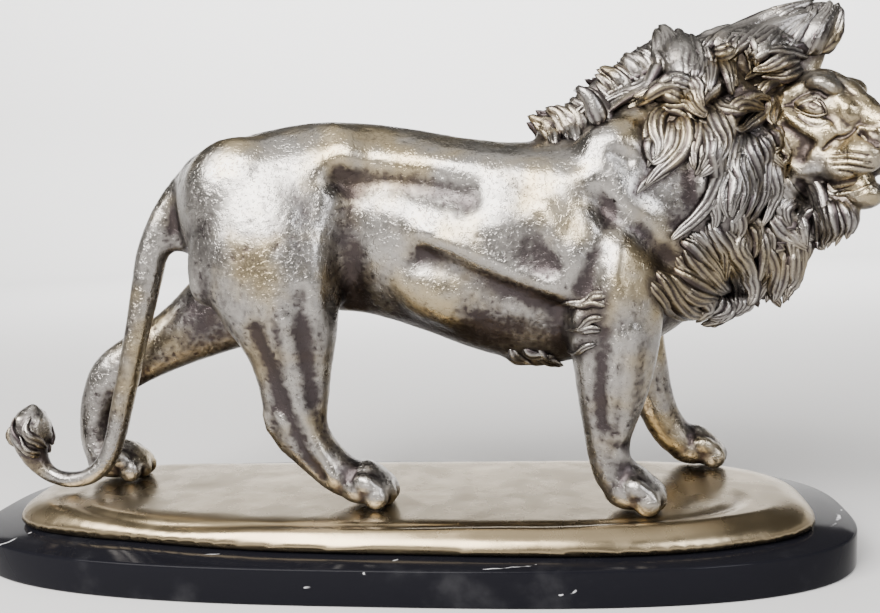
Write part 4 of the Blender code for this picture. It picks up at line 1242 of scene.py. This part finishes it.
def black_marble(colours):
    """Polished black marble with thin pale veins that wander and fade."""
    finish = Finish("black marble finish")
    wander = finish.noise(55.0, 5.0, 0.5).outputs["Color"]
    shift = finish.vector("SUBTRACT", wander, (0.5, 0.5, 0.5))
    place = finish.vector("ADD", finish.place, finish.vector("MULTIPLY", shift, (0.012, 0.012, 0.008)))
    vein = 0.0
    for points, width in VEINS:
        for start, end in zip(points[:-1], points[1:]):
            start, end = Vector(start) * MM, Vector(end) * MM
            along = end - start
            away = finish.vector("SUBTRACT", place, tuple(start))
            share = finish.vector("DOT_PRODUCT", away, tuple(along / along.length_squared))
            share = finish.sum("MINIMUM", finish.sum("MAXIMUM", share, 0.0), 1.0)
            foot = finish.vector("MULTIPLY", finish.joined(share), tuple(along))
            gap = finish.vector("LENGTH", finish.vector("SUBTRACT", away, foot))
            line = finish.between(gap, 1.4 * width * MM, 0.5 * width * MM)
            vein = finish.sum("MAXIMUM", line, vein)
    fade = finish.between(finish.grain(120.0, 3.0), 0.38, 0.60, 0.12, 0.85)
    vein = finish.sum("MULTIPLY", vein, fade)
    haze = finish.between(finish.grain(30.0, 5.0), 0.55, 0.8, 0.0, 0.03)
    dark = finish.blend(haze, tuple(colours.marble), tuple(colours.vein))
    finish.set("Base Color", finish.blend(vein, dark, tuple(colours.vein)))
    finish.set("Roughness", 0.08)
    finish.set("IOR", 1.12)
    return finish.material


# A round floor: its flat reach, the radius of its sweep up, the top of its rim and its points around.
FLOOR_REACH, FLOOR_SWEEP, FLOOR_TOP, FLOOR_TURNS = 2.3, 0.5, 1.05, 96

# Lights: name, place, aim, power in watts, size and tint.
LIGHTS = (
    ("key", (-0.58, -1.00, 1.05), (0, 0, 0.14), 90, (1.4, 1.0), (1.0, 0.98, 0.96)),
    ("window", (0.85, -0.95, 0.70), (0.08, 0, 0.14), 9, (0.30, 0.60), (0.92, 0.94, 1.0)),
    ("ceiling", (0.0, 0.0, 2.20), (0, 0, 0), 20, (2.2, 2.2), (1.0, 0.98, 0.95)),
    ("wall", (0.0, 1.20, 1.50), (0, 2.8, 0.35), 190, (2.6, 0.5), (1.0, 1.0, 1.0)),
)
ROOM_COLOUR, ROOM_LIGHT = (0.88, 0.84, 0.78, 1), 0.20

# The camera stands a little right of the lion's middle, at the height of its back. Angles in radians.
CAMERA_SPOT = (0.075576, -0.450182, 0.171499)
CAMERA_YAW, CAMERA_PITCH, CAMERA_ROLL = -0.117935, 0.110267, -0.0346114
CAMERA_LENS = 36.818


class LION_OT_set_stage(bpy.types.Operator):
    """Sets the pale floor, the soft lights and the camera"""

    bl_idname = "lion.set_stage"
    bl_label = "Set the stage"

    def execute(self, context):
        scene = context.scene
        bm = bmesh.new()
        sweep = [(0.4 * k, 0.0) for k in range(1, 6)] + [(FLOOR_REACH, 0.0)]
        for a in (math.pi * k / 24 for k in range(1, 13)):
            sweep.append((FLOOR_REACH + FLOOR_SWEEP * math.sin(a), FLOOR_SWEEP - FLOOR_SWEEP * math.cos(a)))
        sweep.append((FLOOR_REACH + FLOOR_SWEEP, FLOOR_TOP))
        turns = [2 * math.pi * k / FLOOR_TURNS for k in range(FLOOR_TURNS)]
        middle = bm.verts.new((0, 0, 0))
        rows = [[bm.verts.new((r * math.cos(a), r * math.sin(a), z)) for a in turns] for r, z in sweep]
        for i in range(FLOOR_TURNS):
            j = (i + 1) % FLOOR_TURNS
            bm.faces.new((middle, rows[0][i], rows[0][j]))
            for low, high in zip(rows, rows[1:]):
                bm.faces.new((low[i], high[i], high[j], low[j]))
        floor = bpy.data.objects.new("floor", mesh_of(bm, "floor"))
        scene.collection.objects.link(floor)
        floor.data.shade_smooth()
        pale = Finish("pale floor")
        pale.set("Base Color", (0.56, 0.555, 0.55, 1.0))
        pale.set("Roughness", 0.7)
        floor.data.materials.append(pale.material)

        world = bpy.data.worlds.new("soft room")
        scene.world = world
        world.use_nodes = True
        background = world.node_tree.nodes["Background"]
        background.inputs["Color"].default_value = ROOM_COLOUR
        background.inputs["Strength"].default_value = ROOM_LIGHT
        for name, spot, aim, power, size, tint in LIGHTS:
            light = bpy.data.lights.new(name, "AREA")
            light.shape = "RECTANGLE"
            light.size, light.size_y = size
            light.energy = power
            light.color = tint
            lamp = bpy.data.objects.new(name, light)
            scene.collection.objects.link(lamp)
            lamp.location = spot
            lamp.rotation_euler = (Vector(aim) - Vector(spot)).to_track_quat("-Z", "Y").to_euler()

        yaw, pitch, tilt = CAMERA_YAW, CAMERA_PITCH, CAMERA_ROLL
        ahead = Vector((math.sin(yaw) * math.cos(pitch), math.cos(yaw) * math.cos(pitch), -math.sin(pitch)))
        level = Vector((math.cos(yaw), -math.sin(yaw), 0))
        upright = level.cross(ahead)
        right = math.cos(tilt) * level + math.sin(tilt) * upright
        up = -math.sin(tilt) * level + math.cos(tilt) * upright
        lens = bpy.data.cameras.new("camera")
        lens.sensor_width = 36.0
        lens.lens = CAMERA_LENS
        lens.clip_start = 0.01
        camera = bpy.data.objects.new("camera", lens)
        scene.collection.objects.link(camera)
        turned = Matrix((right, up, -ahead)).transposed().to_4x4()
        camera.matrix_world = Matrix.Translation(CAMERA_SPOT) @ turned
        scene.camera = camera
        return {"FINISHED"}


class LION_PT_panel(bpy.types.Panel):
    """Lists the lion's pieces, sizes and colours"""

    bl_idname = "LION_PT_panel"
    bl_label = "Bronze lion"
    bl_space_type = "VIEW_3D"
    bl_region_type = "UI"
    bl_category = "Lion"

    def draw(self, context):
        for operator in OPERATORS:
            self.layout.operator(operator.bl_idname)
        for group in (context.scene.lion_sizes, context.scene.lion_colours):
            for name in group.__annotations__:
                self.layout.prop(group, name)


OPERATORS = (
    LION_OT_cast_lion,
    LION_OT_carve_face,
    LION_OT_comb_mane,
    LION_OT_cast_plate,
    LION_OT_cut_marble,
    LION_OT_set_stage,
)


def register():
    for group in (LionSizes, LionColours, *OPERATORS, LION_PT_panel):
        bpy.utils.register_class(group)
    bpy.types.Scene.lion_sizes = bpy.props.PointerProperty(type=LionSizes)
    bpy.types.Scene.lion_colours = bpy.props.PointerProperty(type=LionColours)


def unregister():
    del bpy.types.Scene.lion_colours
    del bpy.types.Scene.lion_sizes
    for group in (LION_PT_panel, *reversed(OPERATORS), LionColours, LionSizes):
        bpy.utils.unregister_class(group)


def main():
    register()
    bpy.ops.lion.cast_lion()
    bpy.ops.lion.carve_face()
    bpy.ops.lion.comb_mane()
    bpy.ops.lion.cast_plate()
    bpy.ops.lion.cut_marble()
    bpy.ops.lion.set_stage()


if __name__ == "__main__":
    main()
